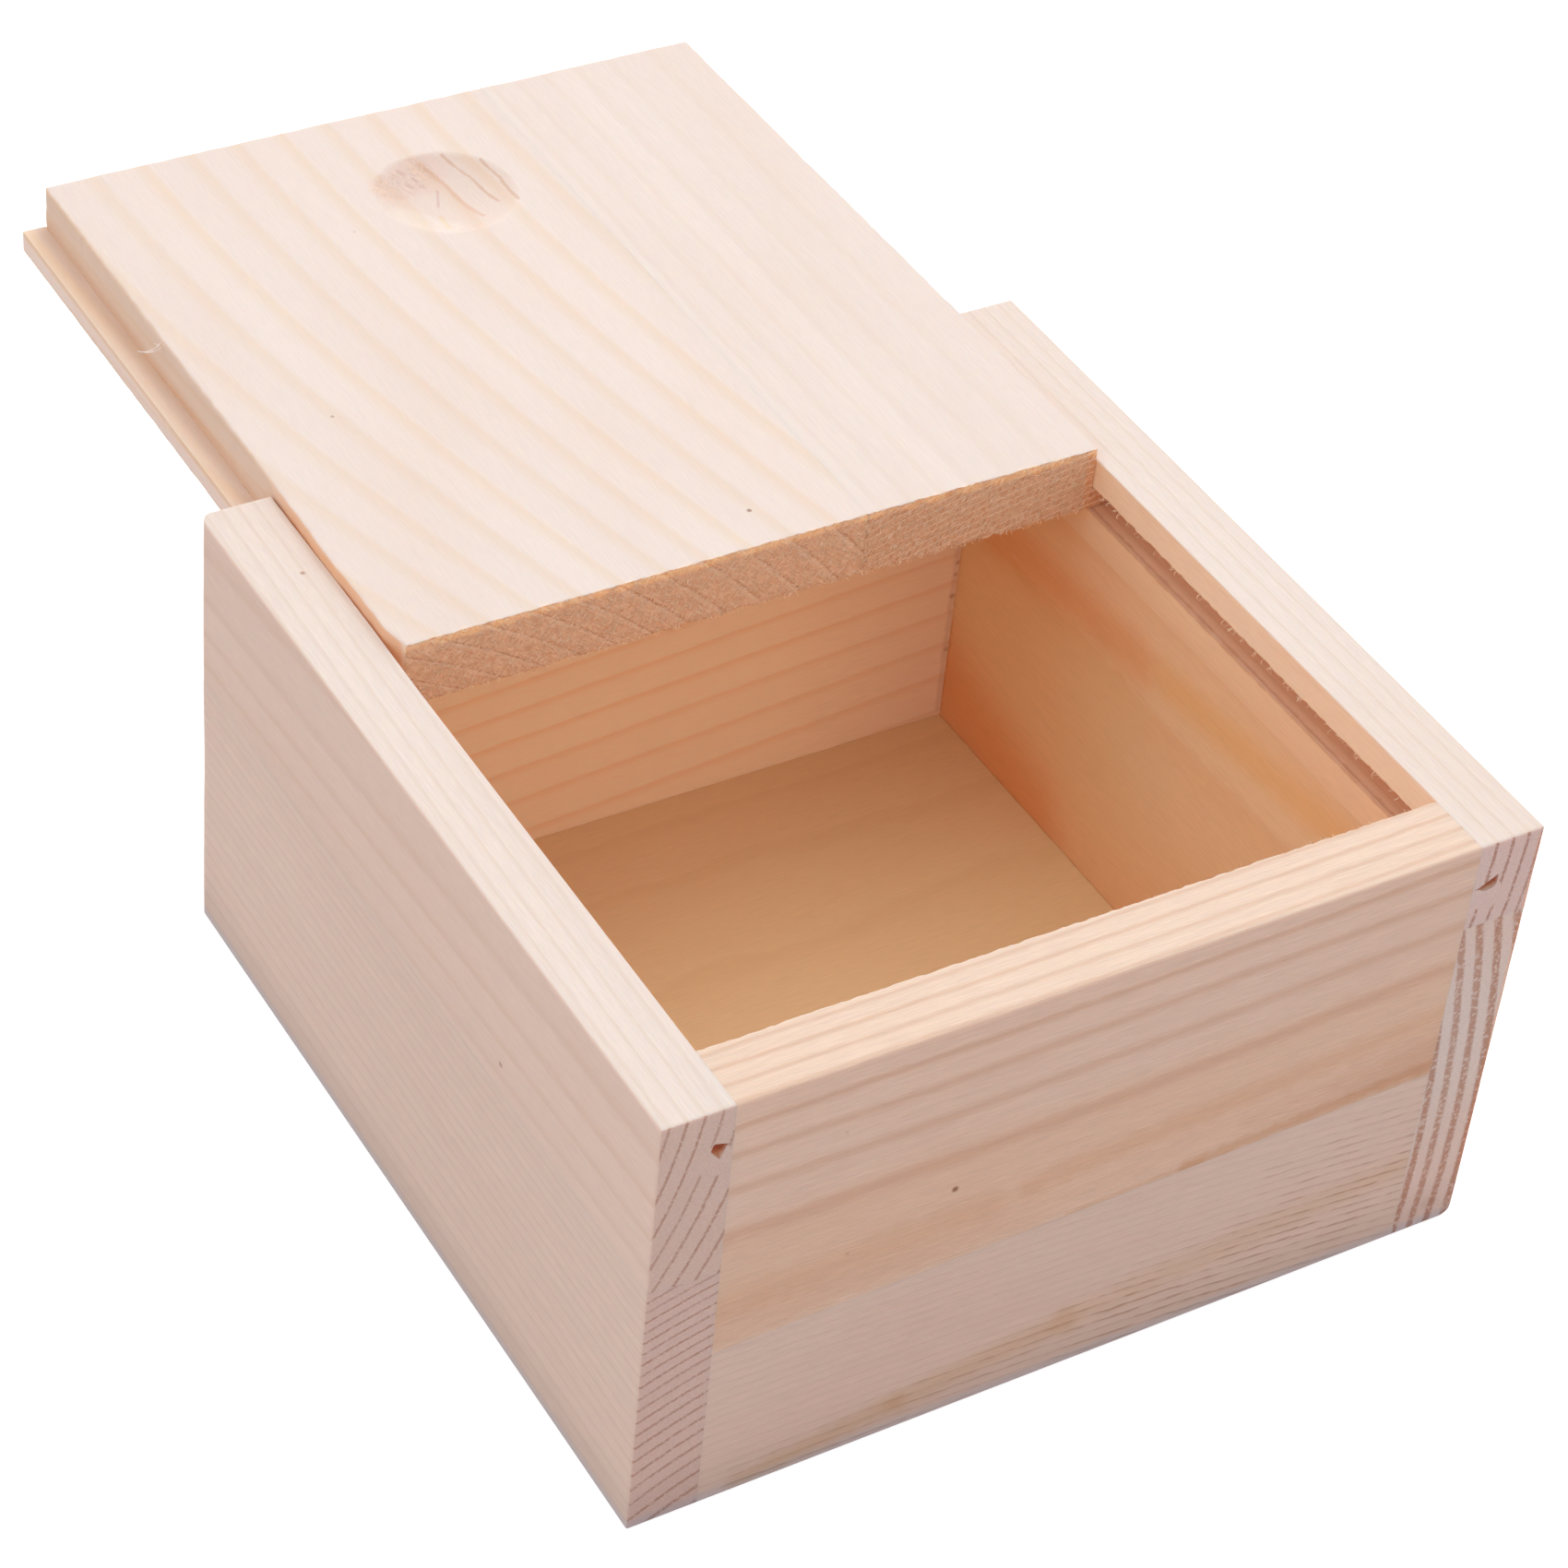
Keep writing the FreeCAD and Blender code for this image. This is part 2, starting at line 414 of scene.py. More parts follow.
def front_strip(upper):
    """One strip of the front board, which stands between the sides."""
    low, high = box_mm("front_upper_strip", "front_lower_strip")
    arrises = outside_arrises() + [(X, (high[Y], high[Z]), (-1, -1), 0.2, 0.95, 0.55)]
    seam = sum(FRONT_SEAM) / 2
    (low if upper else high)[Z] = seam
    points, quads = cross_board(low, high, arrises, seed=21, along=WORKED if upper else COARSE)
    lean_seam(points, Z, seam, FRONT_SEAM, X, (low[X], high[X]))
    return board_object(f"front_{'upper' if upper else 'lower'}_wood", points, quads)


def back_board():
    """The back board, which the lid slides over."""
    low, high = box_mm("back_board")
    arrises = outside_arrises() + [
        (X, (low[Y], high[Z]), (1, -1), 0.25, 0.5, 1.0),
        (X, (high[Y], high[Z]), (-1, -1), 0.35, 0.4, 1.5),
        (Z, (low[X], low[Y]), (1, 1), 0.12, 0.8, 0.9),
    ]
    return board_object("back_board_wood", *cross_board(low, high, arrises, seed=31))


def floor_board():
    """The thin floor panel."""
    low, high = box_mm("floor_panel")
    arrises = [
        (axis, (end[other], high[Z]), (way, -1), 0.12, 0.7, 0.9)
        for axis, other in ((X, Y), (Y, X))
        for end, way in ((low, 1), (high, -1))
    ]
    panel = cross_board(low, high, arrises, seed=35, across=2 * COARSE, along=2 * COARSE)
    return board_object("floor_panel_wood", *panel)


# How far the edges of the lid's thick middle stand out beyond their straight line, along the lid, and how
# far in that is felt.
SPREAD_REACH = 1.5
EDGE_SPREAD = {
    -1: (
        (20.1, -0.35), (21.7, -0.15), (23.3, 0.3), (31.0, 0.34), (35.6, 0.44), (46.0, 0.3), (60.0, 0.1),
        (112.0, 0.0),
    ),
    1: ((20.1, 0.74), (35.0, 0.6), (60.0, 0.4), (112.0, 0.1)),
}
# How the upper arrises of the lid's side walls are torn: depth, pitch and seed of each kind of tear.
SIDE_TEARS = ((0.08, 0.9, 44), (0.04, 0.35, 46))
# How deep the upper front edge of the lid is torn, and how far back and down.
TORN_DEPTH = 0.11
TORN_PITCH = 0.42
TORN_BACK = 0.7
TORN_DOWN = 0.5


def spread_edge(points, side, edge):
    """Moves the lid's side wall out to its uneven line, and leaves its upper arris torn."""
    near = np.clip(1 - np.abs(points[:, X] - edge) / SPREAD_REACH, 0, 1)
    near = near * (points[:, Z] > TONGUE_TOP - LEVEL)
    y = points[:, Y]
    torn = sum(depth * uneven_line(y, pitch, seed + side) for depth, pitch, seed in SIDE_TEARS)
    height = (points[:, Z] - TONGUE_TOP) / LID_SIDE_HEIGHT
    points[:, X] += side * near * (np.interp(y, *zip(*EDGE_SPREAD[side])) + torn * height)


def tear_front_edge(points, front, top):
    """Tears the lid's upper front edge back a little."""
    near = np.clip(1 - (points[:, Y] - front) / TORN_BACK, 0, 1)
    near = near * np.clip(1 - (top - points[:, Z]) / TORN_DOWN, 0, 1)
    points[:, Y] += near * TORN_DEPTH * (1 + uneven_line(points[:, X], TORN_PITCH, 53))


def sink_recess(points, centre, top):
    """Sinks the round finger recess into the lid's top, with the nearest points moved onto its rim."""
    on_top = np.abs(points[:, Z] - top) < LEVEL
    x = points[:, X]
    y = points[:, Y] - centre
    distance = np.hypot(x, y)
    on_rim = on_top & (np.abs(distance - RECESS_RADIUS) < RIM_CATCH)
    scale = np.where(on_rim, RECESS_RADIUS / np.maximum(distance, LEVEL), 1.0)
    points[:, X] = x * scale
    points[:, Y] = y * scale + centre
    bowl = (RECESS_RADIUS ** 2 + RECESS_DEPTH ** 2) / (2 * RECESS_DEPTH)
    depth = np.sqrt(np.maximum(bowl ** 2 - distance ** 2, 0)) - (bowl - RECESS_DEPTH)
    inside = on_top & ~on_rim & (distance < RECESS_RADIUS)
    points[inside, Z] -= depth[inside]


def lid_strip(wide):
    """One strip of the lid, with its tongue. The wide one has the finger recess."""
    low, high = box_mm("lid_wide_strip", "lid_narrow_strip")
    seam = sum(LID_SEAM) / 2
    side = -1 if wide else 1
    edge = side * LID_HALF_WIDTH
    tip = low[X] if wide else high[X]
    centre = high[Y] - RECESS_FROM_REAR

    def filled(x, z):
        return (x - edge) * side < 0 or z < TONGUE_TOP

    if wide:
        across = divided((tip, edge, -RECESS_RADIUS, RECESS_RADIUS, seam), coarse=(0.4, 0.5, 0.3, 0.4))
        recess = (centre - RECESS_RADIUS, centre + RECESS_RADIUS)
        along = divided((low[Y], *recess, high[Y]), coarse=(0.9, 0.3, 0.8))
    else:
        across = divided((seam, edge, tip), coarse=0.4)
        along = divided((low[Y], high[Y]), coarse=0.8)
    up = divided((low[Z], TONGUE_TOP, high[Z]), coarse=0.35)
    points, quads = skin_of_cells(across, up, along, filled)
    points = laid(points, ALONG_Y)
    if wide:
        sink_recess(points, centre, high[Z])
    fray_end(points, Y, low[Y], 1, depth=0.22, pitch=0.45, seed=51)
    fray_end(points, Y, high[Y], -1, depth=0.05, pitch=0.6, seed=52)
    arrises = [
        (Y, (tip, low[Z]), (-side, 1), 0.2, 0.5, 1.0),
        (Y, (tip, TONGUE_TOP), (-side, -1), 0.1, 0.5, 1.0),
        (X, (low[Y], high[Z]), (1, -1), 0.22, 0.95, 0.42),
        (X, (low[Y], low[Z]), (1, 1), 0.45, 0.95, 0.5),
        (X, (high[Y], high[Z]), (-1, -1), 0.3, 0.4, 1.5),
        (X, (high[Y], low[Z]), (-1, 1), 0.3, 0.4, 1.5),
        (Z, (edge, low[Y]), (-side, 1), 0.5 if wide else 0.12, 0.3, 1.0),
        (Z, (edge, high[Y]), (-side, -1), 0.5, 0.3, 1.0),
    ]
    if wide:
        arrises.append((Y, (edge, high[Z]), (1, -1), 0.5, 0.2, 2.0))
    ease(points, arrises, seed=41)
    tear_front_edge(points, low[Y], high[Z])
    spread_edge(points, side, edge)
    lean_seam(points, X, seam, LID_SEAM, Y, (low[Y], high[Y]))
    return board_object(f"lid_{'wide' if wide else 'narrow'}_wood", points, quads)


# How deep a peg is chipped behind the small hole, within what height, and how near to the hole it starts.
CHIP_DEPTH = 1.2
CHIP_HEIGHT = 0.35
CHIP_MARGIN = 0.1


def groove_peg(side):
    """The peg in the front end of a groove, cut off level with the end grain round it."""
    word = SIDE_WORDS[side]
    low, high = box_mm(f"{word}_groove_peg")
    centre = (side * PEG_FROM_CENTRE, PEG_LEVEL)
    points, faces = round_bar(centre, PEG_RADIUS - PEG_PLAY, low[Y], high[Y], segments=72, circles=16)
    on_end = np.abs(points[:, Y] - low[Y]) < LEVEL
    rough = uneven_face(points[on_end, X], points[on_end, Z], PEG_PITCH, 61 + side)
    points[on_end, Y] += PEG_SUNK + PEG_ROUGHNESS * rough
    floor, roof = mouth_levels(side, points[:, X] * side - WALL_INNER)
    chipped = on_end & (roof - floor > CHIP_MARGIN) & (points[:, Z] > floor - CHIP_MARGIN)
    rise = (points[chipped, Z] - floor[chipped] + CHIP_MARGIN) / CHIP_HEIGHT
    points[chipped, Y] += CHIP_DEPTH * np.clip(rise, 0, 1)
    return mesh_object(f"{word}_groove_peg_wood", points, faces)


# ---------------------------------------------------------------- laying out node trees

# What kind of group socket carries what comes out of a node.
SOCKET_SORTS = {"VALUE": "Float", "RGBA": "Color", "GEOMETRY": "Geometry"}
SINGLE_RESULTS = ("DOT_PRODUCT", "LENGTH", "DISTANCE")
WHITE = (1, 1, 1)
BLACK = (0, 0, 0)


def sign(operation, turned=False):
    """What a sign of arithmetic does between two values: it lays out a maths node."""

    def between(value, other):
        return value.net.maths(operation, *((other, value) if turned else (value, other)))

    return between


def of_type(sockets, kind):
    """The sockets of one type, for nodes that have a set of sockets for each kind of data."""
    return [socket for socket in sockets if socket.type == kind]


class Value:
    """What comes out of a node. Arithmetic on values lays out the nodes that do it."""

    __add__, __radd__ = sign("ADD"), sign("ADD", turned=True)
    __sub__, __rsub__ = sign("SUBTRACT"), sign("SUBTRACT", turned=True)
    __mul__, __truediv__ = sign("MULTIPLY"), sign("DIVIDE")

    def __init__(self, net, socket):
        self.net = net
        self.socket = socket

    def __abs__(self):
        return self.net.maths("ABSOLUTE", self)

    def parts(self):
        """The three parts of a vector."""
        node = self.net.node("ShaderNodeSeparateXYZ", self)
        return [node[axis] for axis in (X, Y, Z)]

    def ramp(self, low, high, to_low=0.0, to_high=1.0, shape="SMOOTHSTEP"):
        """The value carried from one range to another, with level ends."""
        ends = (low, high, to_low, to_high)
        return self.net.node("ShaderNodeMapRange", self, *ends, interpolation_type=shape)["Result"]

    def fall(self, low, high):
        """A share that falls from 1 to 0."""
        return self.ramp(low, high, 1.0, 0.0)

    def noise(self, scale, detail, roughness=0.5):
        """Smooth chance values about 0.5. scale is one number, or one for each way."""
        place = self
        if isinstance(scale, tuple):
            place = self * scale
            scale = 1.0
        inputs = {"Vector": place, "Scale": scale, "Detail": detail, "Roughness": roughness}
        return self.net.node("ShaderNodeTexNoise", inputs)["Fac"]


class Placed:
    """A node in its tree. Its outputs are read by name or number."""

    def __init__(self, net, node):
        self.net = net
        self.node = node

    def __getitem__(self, label):
        return Value(self.net, self.node.outputs[label])


class Net:
    """Short calls for laying out a node tree."""

    def __init__(self, tree):
        self.tree = tree

    def feed(self, socket, value):
        """Links a value to a socket, or sets the socket to it. None leaves it as it is."""
        if isinstance(value, Value):
            self.tree.links.new(value.socket, socket)
        elif value is not None:
            three_colours = socket.type == "RGBA" and len(value) == 3
            socket.default_value = (*value, 1.0) if three_colours else value

    def node(self, kind, *inputs, **settings):
        """A new node with its settings, and its inputs in order or in one dict by name."""
        node = self.tree.nodes.new(kind)
        for setting, value in settings.items():
            setattr(node, setting, value)
        if inputs and isinstance(inputs[0], dict):
            pairs = [(node.inputs[label], value) for label, value in inputs[0].items()]
        else:
            pairs = zip(node.inputs, inputs)
        for socket, value in pairs:
            self.feed(socket, value)
        return Placed(self, node)

    def maths(self, operation, *values, clamp=False):
        """A maths node, or a vector one where a vector comes in."""
        if any(isinstance(value, Value) and value.socket.type == "VECTOR" for value in values):
            node = self.node("ShaderNodeVectorMath", *values, operation=operation)
            return node["Value" if operation in SINGLE_RESULTS else "Vector"]
        return self.node("ShaderNodeMath", *values, operation=operation, use_clamp=clamp)["Value"]

    def vector(self, x, y, z):
        """Three values as a vector."""
        return self.node("ShaderNodeCombineXYZ", x, y, z)["Vector"]

    def scaled(self, vector, by):
        """A vector made longer or shorter."""
        return self.maths("SCALE", vector, None, None, by)

    def blend(self, share, under, over, how="MIX"):
        """Two colours mixed."""
        mix = self.node("ShaderNodeMix", share, data_type="RGBA", blend_type=how).node
        for socket, colour in zip(of_type(mix.inputs, "RGBA"), (under, over)):
            self.feed(socket, colour)
        return Value(self, of_type(mix.outputs, "RGBA")[0])

    def tint(self, share, colour, tint):
        """A colour multiplied by another, as far as share says."""
        return self.blend(share, colour, tint, "MULTIPLY")

    def chance(self, low, high, seed):
        """A chance value for each point, between two numbers or two vectors."""
        data_type, sort = ("FLOAT_VECTOR", "VECTOR") if isinstance(low, tuple) else ("FLOAT", "VALUE")
        node = self.node("FunctionNodeRandomValue", {"Seed": seed}, data_type=data_type).node
        for socket, value in zip(of_type(node.inputs, sort), (low, high)):
            self.feed(socket, value)
        return Value(self, of_type(node.outputs, sort)[0])

    def ending(self, results):
        """Gives a node group its outputs, and returns its finished tree."""
        for label, value in results.items():
            sort = SOCKET_SORTS[value.socket.type]
            self.tree.interface.new_socket(name=label, in_out="OUTPUT", socket_type=f"NodeSocket{sort}")
        self.node("NodeGroupOutput", results)
        return self.tree


def new_group(name, inputs, kind="ShaderNodeTree"):
    """The layout of a new node group, and what comes into it. inputs names the sockets of each kind."""
    tree = bpy.data.node_groups.new(name, kind)
    for sort, labels in inputs.items():
        for label in labels:
            tree.interface.new_socket(name=label, in_out="INPUT", socket_type=f"NodeSocket{sort}")
    net = Net(tree)
    return net, net.node("NodeGroupInput")


# ---------------------------------------------------------------- torn fibres

def torn_fibres_tree():
    """Geometry nodes that stand fine tapering hairs of wood on every face of a patch."""
    net, given = new_group("torn fibres", {
        "Geometry": ("Patch",),
        "Float": ("Density", "Length", "Thickness", "Spread", "Curl"),
        "Vector": ("Direction",),
        "Int": ("Seed",),
        "Material": ("Material",),
    }, "GeometryNodeTree")
    length = given["Length"]
    seed = given["Seed"]
    inputs = {"Mesh": given["Patch"], "Density": given["Density"], "Seed": seed}
    points = net.node("GeometryNodeDistributePointsOnFaces", inputs, distribute_method="RANDOM")["Points"]
    bend = length * given["Curl"]
    middle = net.vector(bend, 0.0, length * 0.55)
    tip = net.vector(bend * -0.4, 0.0, length)
    inputs = {"Resolution": 6, "Start": (0.0, 0.0, 0.0), "Middle": middle, "End": tip}
    curve = net.node("GeometryNodeCurveQuadraticBezier", inputs)["Curve"]
    taper = net.node("GeometryNodeSplineParameter")["Factor"].ramp(0.0, 1.0, 1.0, 0.15, "LINEAR")
    curve = net.node("GeometryNodeSetCurveRadius", {"Curve": curve, "Radius": taper})["Curve"]
    inputs = {"Resolution": 4, "Radius": given["Thickness"]}
    ring = net.node("GeometryNodeCurvePrimitiveCircle", inputs, mode="RADIUS")["Curve"]
    inputs = {"Curve": curve, "Profile Curve": ring, "Fill Caps": True}
    hair = net.node("GeometryNodeCurveToMesh", inputs)["Mesh"]
    sway = net.chance((-1.0, -1.0, -1.0), (1.0, 1.0, 1.0), seed)
    way = given["Direction"] + net.scaled(sway, given["Spread"])
    aimed = net.node("FunctionNodeAlignRotationToVector", {"Vector": way}, axis="Z")["Rotation"]
    angle = net.chance(0.0, math.tau, seed + 7.0)
    spin = net.node("FunctionNodeAxisAngleToRotation", {"Axis": (0.0, 0.0, 1.0), "Angle": angle})["Rotation"]
    inputs = {"Rotation": aimed, "Rotate By": spin}
    turned = net.node("FunctionNodeRotateRotation", inputs, rotation_space="LOCAL")["Rotation"]
    size = net.chance(0.35, 1.3, seed + 13.0)
    inputs = {"Points": points, "Instance": hair, "Rotation": turned, "Scale": size}
    placed = net.node("GeometryNodeInstanceOnPoints", inputs)["Instances"]
    real = net.node("GeometryNodeRealizeInstances", {"Geometry": placed})["Geometry"]
    inputs = {"Geometry": real, "Material": given["Material"]}
    return net.ending({"Fibres": net.node("GeometryNodeSetMaterial", inputs)["Geometry"]})


def fibres(tree, material, corners, count, length, thickness, direction, spread, curl, seed):
    """Points and faces of hairs on a patch with four corners, everything in millimetres."""
    patch = mesh_object("patch", np.array(corners, float), [(0, 1, 2, 3)])
    area = patch.data.polygons[0].area
    modifier = patch.modifiers.new("torn fibres", "NODES")
    modifier.node_group = tree
    settings = {
        "Density": count / area, "Length": length * MM, "Thickness": thickness * MM, "Direction": direction,
        "Spread": spread, "Curl": curl, "Seed": seed, "Material": material,
    }
    for item in tree.interface.items_tree:
        if item.item_type == "SOCKET" and item.name in settings:
            modifier[item.identifier] = settings[item.name]
    mesh = baked(patch).data
    places = np.empty(len(mesh.vertices) * 3)
    mesh.vertices.foreach_get("co", places)
    points = places.reshape(-1, 3) / MM
    faces = [tuple(face.vertices) for face in mesh.polygons]
    bpy.data.objects.remove(patch)
    if volume_sign(points, faces) < 0:
        faces = [face[::-1] for face in faces]
    return points, faces


def gathered(name, bundles, material):
    """One object of several bundles of points and faces."""
    points = []
    faces = []
    for places, polygons in bundles:
        shift = sum(len(part) for part in points)
        points.append(places)
        faces += [tuple(corner + shift for corner in polygon) for polygon in polygons]
    piece = mesh_object(name, np.concatenate(points), faces)
    piece.data.materials.append(material)
    piece.data.shade_smooth()
    return piece


def along_x(x_from, x_to, y, z_from, z_to):
    """The corners of an upright patch that faces the front."""
    return [(x_from, y, z_from), (x_to, y, z_from), (x_to, y, z_to), (x_from, y, z_to)]


def along_y(x, y_from, y_to, z_from, z_to):
    """The corners of an upright patch that faces a side."""
    return [(x, y_from, z_from), (x, y_to, z_from), (x, y_to, z_to), (x, y_from, z_to)]


# ---------------------------------------------------------------- node groups for the wood

def growth_rings_group():
    """Growth rings round a pith line. Grain is the place in millimetres from the pith: across, up and
    along the trunk. Each ring darkens outwards and ends at a sharp edge. Mask is the latewood on a face,
    End the dark line on an end and Beside the light band within it. Chance is one value for each ring."""
    net, given = new_group("growth rings", {
        "Vector": ("Grain", "Slant"),
        "Float": (
            "First Ring", "Ring Width", "Closing", "Lean", "Bow", "Waver", "Fray", "Late", "Slow", "Edge",
            "End Width", "Seed",
        ),
    })
    grain = given["Grain"]
    along = grain.parts()[Z]
    straight = grain - net.scaled(given["Slant"], along)
    shifted = grain + net.vector(given["Seed"], 0.0, given["Seed"])
    broad = shifted.noise((0.07, 0.07, 0.015), 1.0) - 0.5
    middle = shifted.noise((0.4, 0.4, 0.09), 1.0) - 0.5
    fine = shifted.noise((4.0, 4.0, 0.4), 2.0) - 0.5
    radius = net.maths("LENGTH", straight * (1, 1, 0))
    radius = radius + along * given["Lean"] + along * along * given["Bow"]
    radius = radius + (broad + middle * 0.35) * given["Waver"] + fine * given["Fray"]
    count = (radius - given["First Ring"]) / given["Ring Width"]
    count = count + count * count * given["Closing"]
    ring = net.maths("FLOOR", count)
    phase = count - ring
    dark_end = 1.0 - given["Edge"]
    quick = phase.ramp(1.0 - given["Late"], dark_end)
    rise = phase * phase * given["Slow"] + quick * (1.0 - given["Slow"])
    inputs = {"W": ring + given["Seed"]}
    chance = net.node("ShaderNodeTexWhiteNoise", inputs, noise_dimensions="1D")["Value"]
    strength = chance.ramp(0.0, 1.0, 0.75, 1.0, "LINEAR")
    width = given["End Width"]
    jagged = shifted.noise((7.0, 7.0, 2.0), 2.0) - 0.5
    off = phase + jagged * 0.22 - (1.0 - given["Late"] * 0.5)
    line = abs(off).fall(width * 0.5, width * 1.2)
    whole = shifted.noise((2.2, 2.2, 0.4), 2.0).ramp(0.32, 0.52, 0.3, 1.0)
    near = width * -1.2
    return net.ending({
        "Mask": rise * phase.fall(dark_end, 1.0) * strength,
        "End": line * whole * strength,
        "Beside": off.ramp(width * -4.5, near) * off.fall(near, 0.0),
        "Chance": chance,
    })


def mark_group():
    """A mark along a straight stretch, such as a resin streak, or at a point, such as a speck. Uneven is
    a chance value that frays its outline."""
    net, given = new_group("mark in wood", {
        "Vector": ("Place", "Start", "Finish", "Squash"), "Float": ("Uneven", "Radius", "Softness", "Waver"),
    })
    place = (given["Place"] - given["Start"]) * given["Squash"]
    way = (given["Finish"] - given["Start"]) * given["Squash"]
    run = net.maths("DOT_PRODUCT", place, way)
    length = net.maths("MAXIMUM", net.maths("DOT_PRODUCT", way, way), LEVEL)
    nearest = net.scaled(way, net.maths("DIVIDE", run, length, clamp=True))
    distance = net.maths("DISTANCE", place, nearest) + given["Uneven"] * given["Waver"]
    inside = given["Radius"] - given["Softness"]
    return net.ending({"Mask": distance.fall(inside, given["Radius"] + given["Softness"])})


# Faces that carry painted light and shade: those that look into the box (painted bounce light), the lips
# over the grooves (painted light), the grooves (painted shade and glow) and the lid's side walls between the
# lips (painted shade and glow). Each step is an axis, where a zone has ended and where it is whole. Across
# the box, places are measured from the middle.
ZONES = {
    "Room": ((X, 42.9, 42.7), (Y, -42.9, -42.7), (Y, 43.2, 43.0), (Z, 48.4, 48.1)),
    "Lip": (
        (X, 42.0, 42.1), (X, 42.8, 42.7), (Z, 51.2, 51.3), (Z, 55.0, 54.75), (Y, -42.9, -42.7), (Y, 50, 46),
    ),
    "Groove": (
        (X, 45.75, 45.65), (X, 42.4, 42.6), (Z, 48.3, 48.4), (Z, 51.3, 51.2), (Y, -50.4, -49.8), (Y, 50, 46),
    ),
    "Gap": ((X, 41.3, 41.5), (Z, 56.35, 56.15), (Y, 54, 44)),
}


def zones_group():
    """How far a place belongs to each of the zones."""
    net, given = new_group("zones of the box", {"Vector": ("Place",)})
    x, y, z = given["Place"].parts()
    places = (abs(x), y, z)
    shares = {}
    for zone, steps in ZONES.items():
        share = 1.0
        for axis, ended, whole in steps:
            step = places[axis].ramp(ended, whole) if ended < whole else places[axis].fall(whole, ended)
            share = step * share
        shares[zone] = share
    return net.ending(shares)


def finish_group():
    """Planed pine: the colours of face and end grain, fine fibres, painted light on tops and inside the box,
    and the height of the surface.
    """
    net, given = new_group("pine finish", {
        "Vector": ("Grain",),
        "Float": ("Rings", "End Rings", "Chance", "End", "Top", "Inside", "Cloud", "Fibre", "Seed"),
        "Color": ("Pale", "Line", "End Pale", "End Line", "Top Light Tint", "Inside Bounce Tint", "Inside Bounce Glow"),
    })
    shifted = given["Grain"] + net.vector(given["Seed"], given["Seed"], 0.0)
    fibre = shifted.noise((6.0, 6.0, 0.25), 3.0)
    vessel = shifted.noise((14.0, 14.0, 0.5), 1.0)
    cloud = shifted.noise((0.08, 0.08, 0.03), 2.0)
    grit = shifted.noise(5.0, 3.0, 0.6)
    broken = fibre.ramp(0.25, 0.75, 0.8, 1.2, "LINEAR")
    lines = net.blend(given["Rings"] * broken, WHITE, given["Line"])
    end_lines = net.blend(given["End Rings"], WHITE, given["End Line"])
    face = net.tint(1.0, given["Pale"], lines)
    colour = net.blend(given["End"], face, net.tint(1.0, given["End Pale"], end_lines))
    colour = net.tint(cloud.ramp(0.3, 0.75) * given["Cloud"], colour, BLUSH)
    # Painted highlight: tops paler and cooler.
    colour = net.tint(given["Top"], colour, given["Top Light Tint"])
    # Painted bounce light: faces inside the box warmer.
    colour = net.tint(given["Inside"], colour, given["Inside Bounce Tint"])
    flat = 1.0 - given["End"]
    threads = (fibre - 0.5) * (given["Fibre"] * 0.12)
    fleck = (vessel - 0.5) * (given["Fibre"] * 0.08)
    rough = (grit - 0.5) * 0.34
    year = given["Chance"].ramp(0.0, 1.0, -0.012, 0.012, "LINEAR")
    shade = 1.0 + (threads + fleck) * flat + rough * given["End"] + year
    grey = net.node("ShaderNodeCombineColor", shade, shade, shade)["Color"]
    planed = (fibre * 0.4 + vessel * 0.25) * given["Fibre"]
    return net.ending({
        "Color": net.tint(1.0, colour, grey),
        # Painted bounce light inside the box, as a glow.
        "Glow": net.blend(given["Inside"], BLACK, given["Inside Bounce Glow"]),
        "Roughness": vessel.ramp(0.2, 0.8, 0.55, 0.75, "LINEAR"),
        "Height": planed * flat + grit * 1.5 * given["End"] + given["Rings"] * 0.3,
    })


def sawn_group():
    """A sawn end across the fibres: short light threads that lie one way and, as far as Cross says, the
    other way too, over small pits."""
    net, given = new_group("sawn end", {"Vector": ("Place",), "Float": ("Cross",)})
    place = given["Place"]
    cross = given["Cross"]
    threads = []
    for number, slope in enumerate((1.0, -0.75)):
        along = net.maths("DOT_PRODUCT", place, (math.cos(slope), 0.2, math.sin(slope)))
        across = net.maths("DOT_PRODUCT", place, (-math.sin(slope), 0.2, math.cos(slope)))
        threads.append(net.vector(along, across, 11.0 * number).noise((0.9, 3.4, 1.0), 2.0, 0.6))
    light = [thread.ramp(0.5, 0.62) for thread in threads]
    dark = [thread.fall(0.38, 0.48) for thread in threads]
    patches = place.noise(0.8, 2.0).ramp(0.38, 0.6, 0.35, 1.0)
    mask = net.maths("MAXIMUM", light[0], light[1] * cross) * patches
    return net.ending({
        "Threads": mask,
        "Dark": net.maths("MAXIMUM", dark[0], dark[1] * cross),
        "Height": mask + place.noise(3.5, 3.0, 0.6) * 1.5,
    })


# ---------------------------------------------------------------- the look of the wood

def srgb(red, green, blue):
    """A colour given in screen steps of 0 to 255."""
    steps = (red / 255, green / 255, blue / 255)
    return tuple(((step + 0.055) / 1.055) ** 2.4 if step > 0.04 else step / 12.92 for step in steps)


PALE = srgb(239, 213, 190)
BLUSH = (0.97, 0.9, 0.86)
END_PALE = (0.815, 0.585, 0.5)
# Painted highlight: faces that look up are made paler and cooler, as the light falls on them.
TOP_LIGHT_TINT = (0.98, 1.12, 1.19)
# The painted light and shade of the zones, as a tint and a glow, except the room, whose painted bounce light
# comes from each board.
ZONE_PAINTED_LIGHT = {
    "Lip": ((1.05, 1.08, 1.0), (0.06, 0.03, 0.01)),
    "Groove": ((0.95, 0.77, 0.6), (0.03, 0.013, 0.006)),
    "Gap": ((0.92, 0.74, 0.6), (0.05, 0.02, 0.01)),
}
# Painted warm bounce light on the lid's front end grain, and how far back it reaches.
LID_FRONT_BOUNCE_TINT = (1.1, 1.02, 0.78)
LID_FRONT_SPAN = (22.0, 24.0)
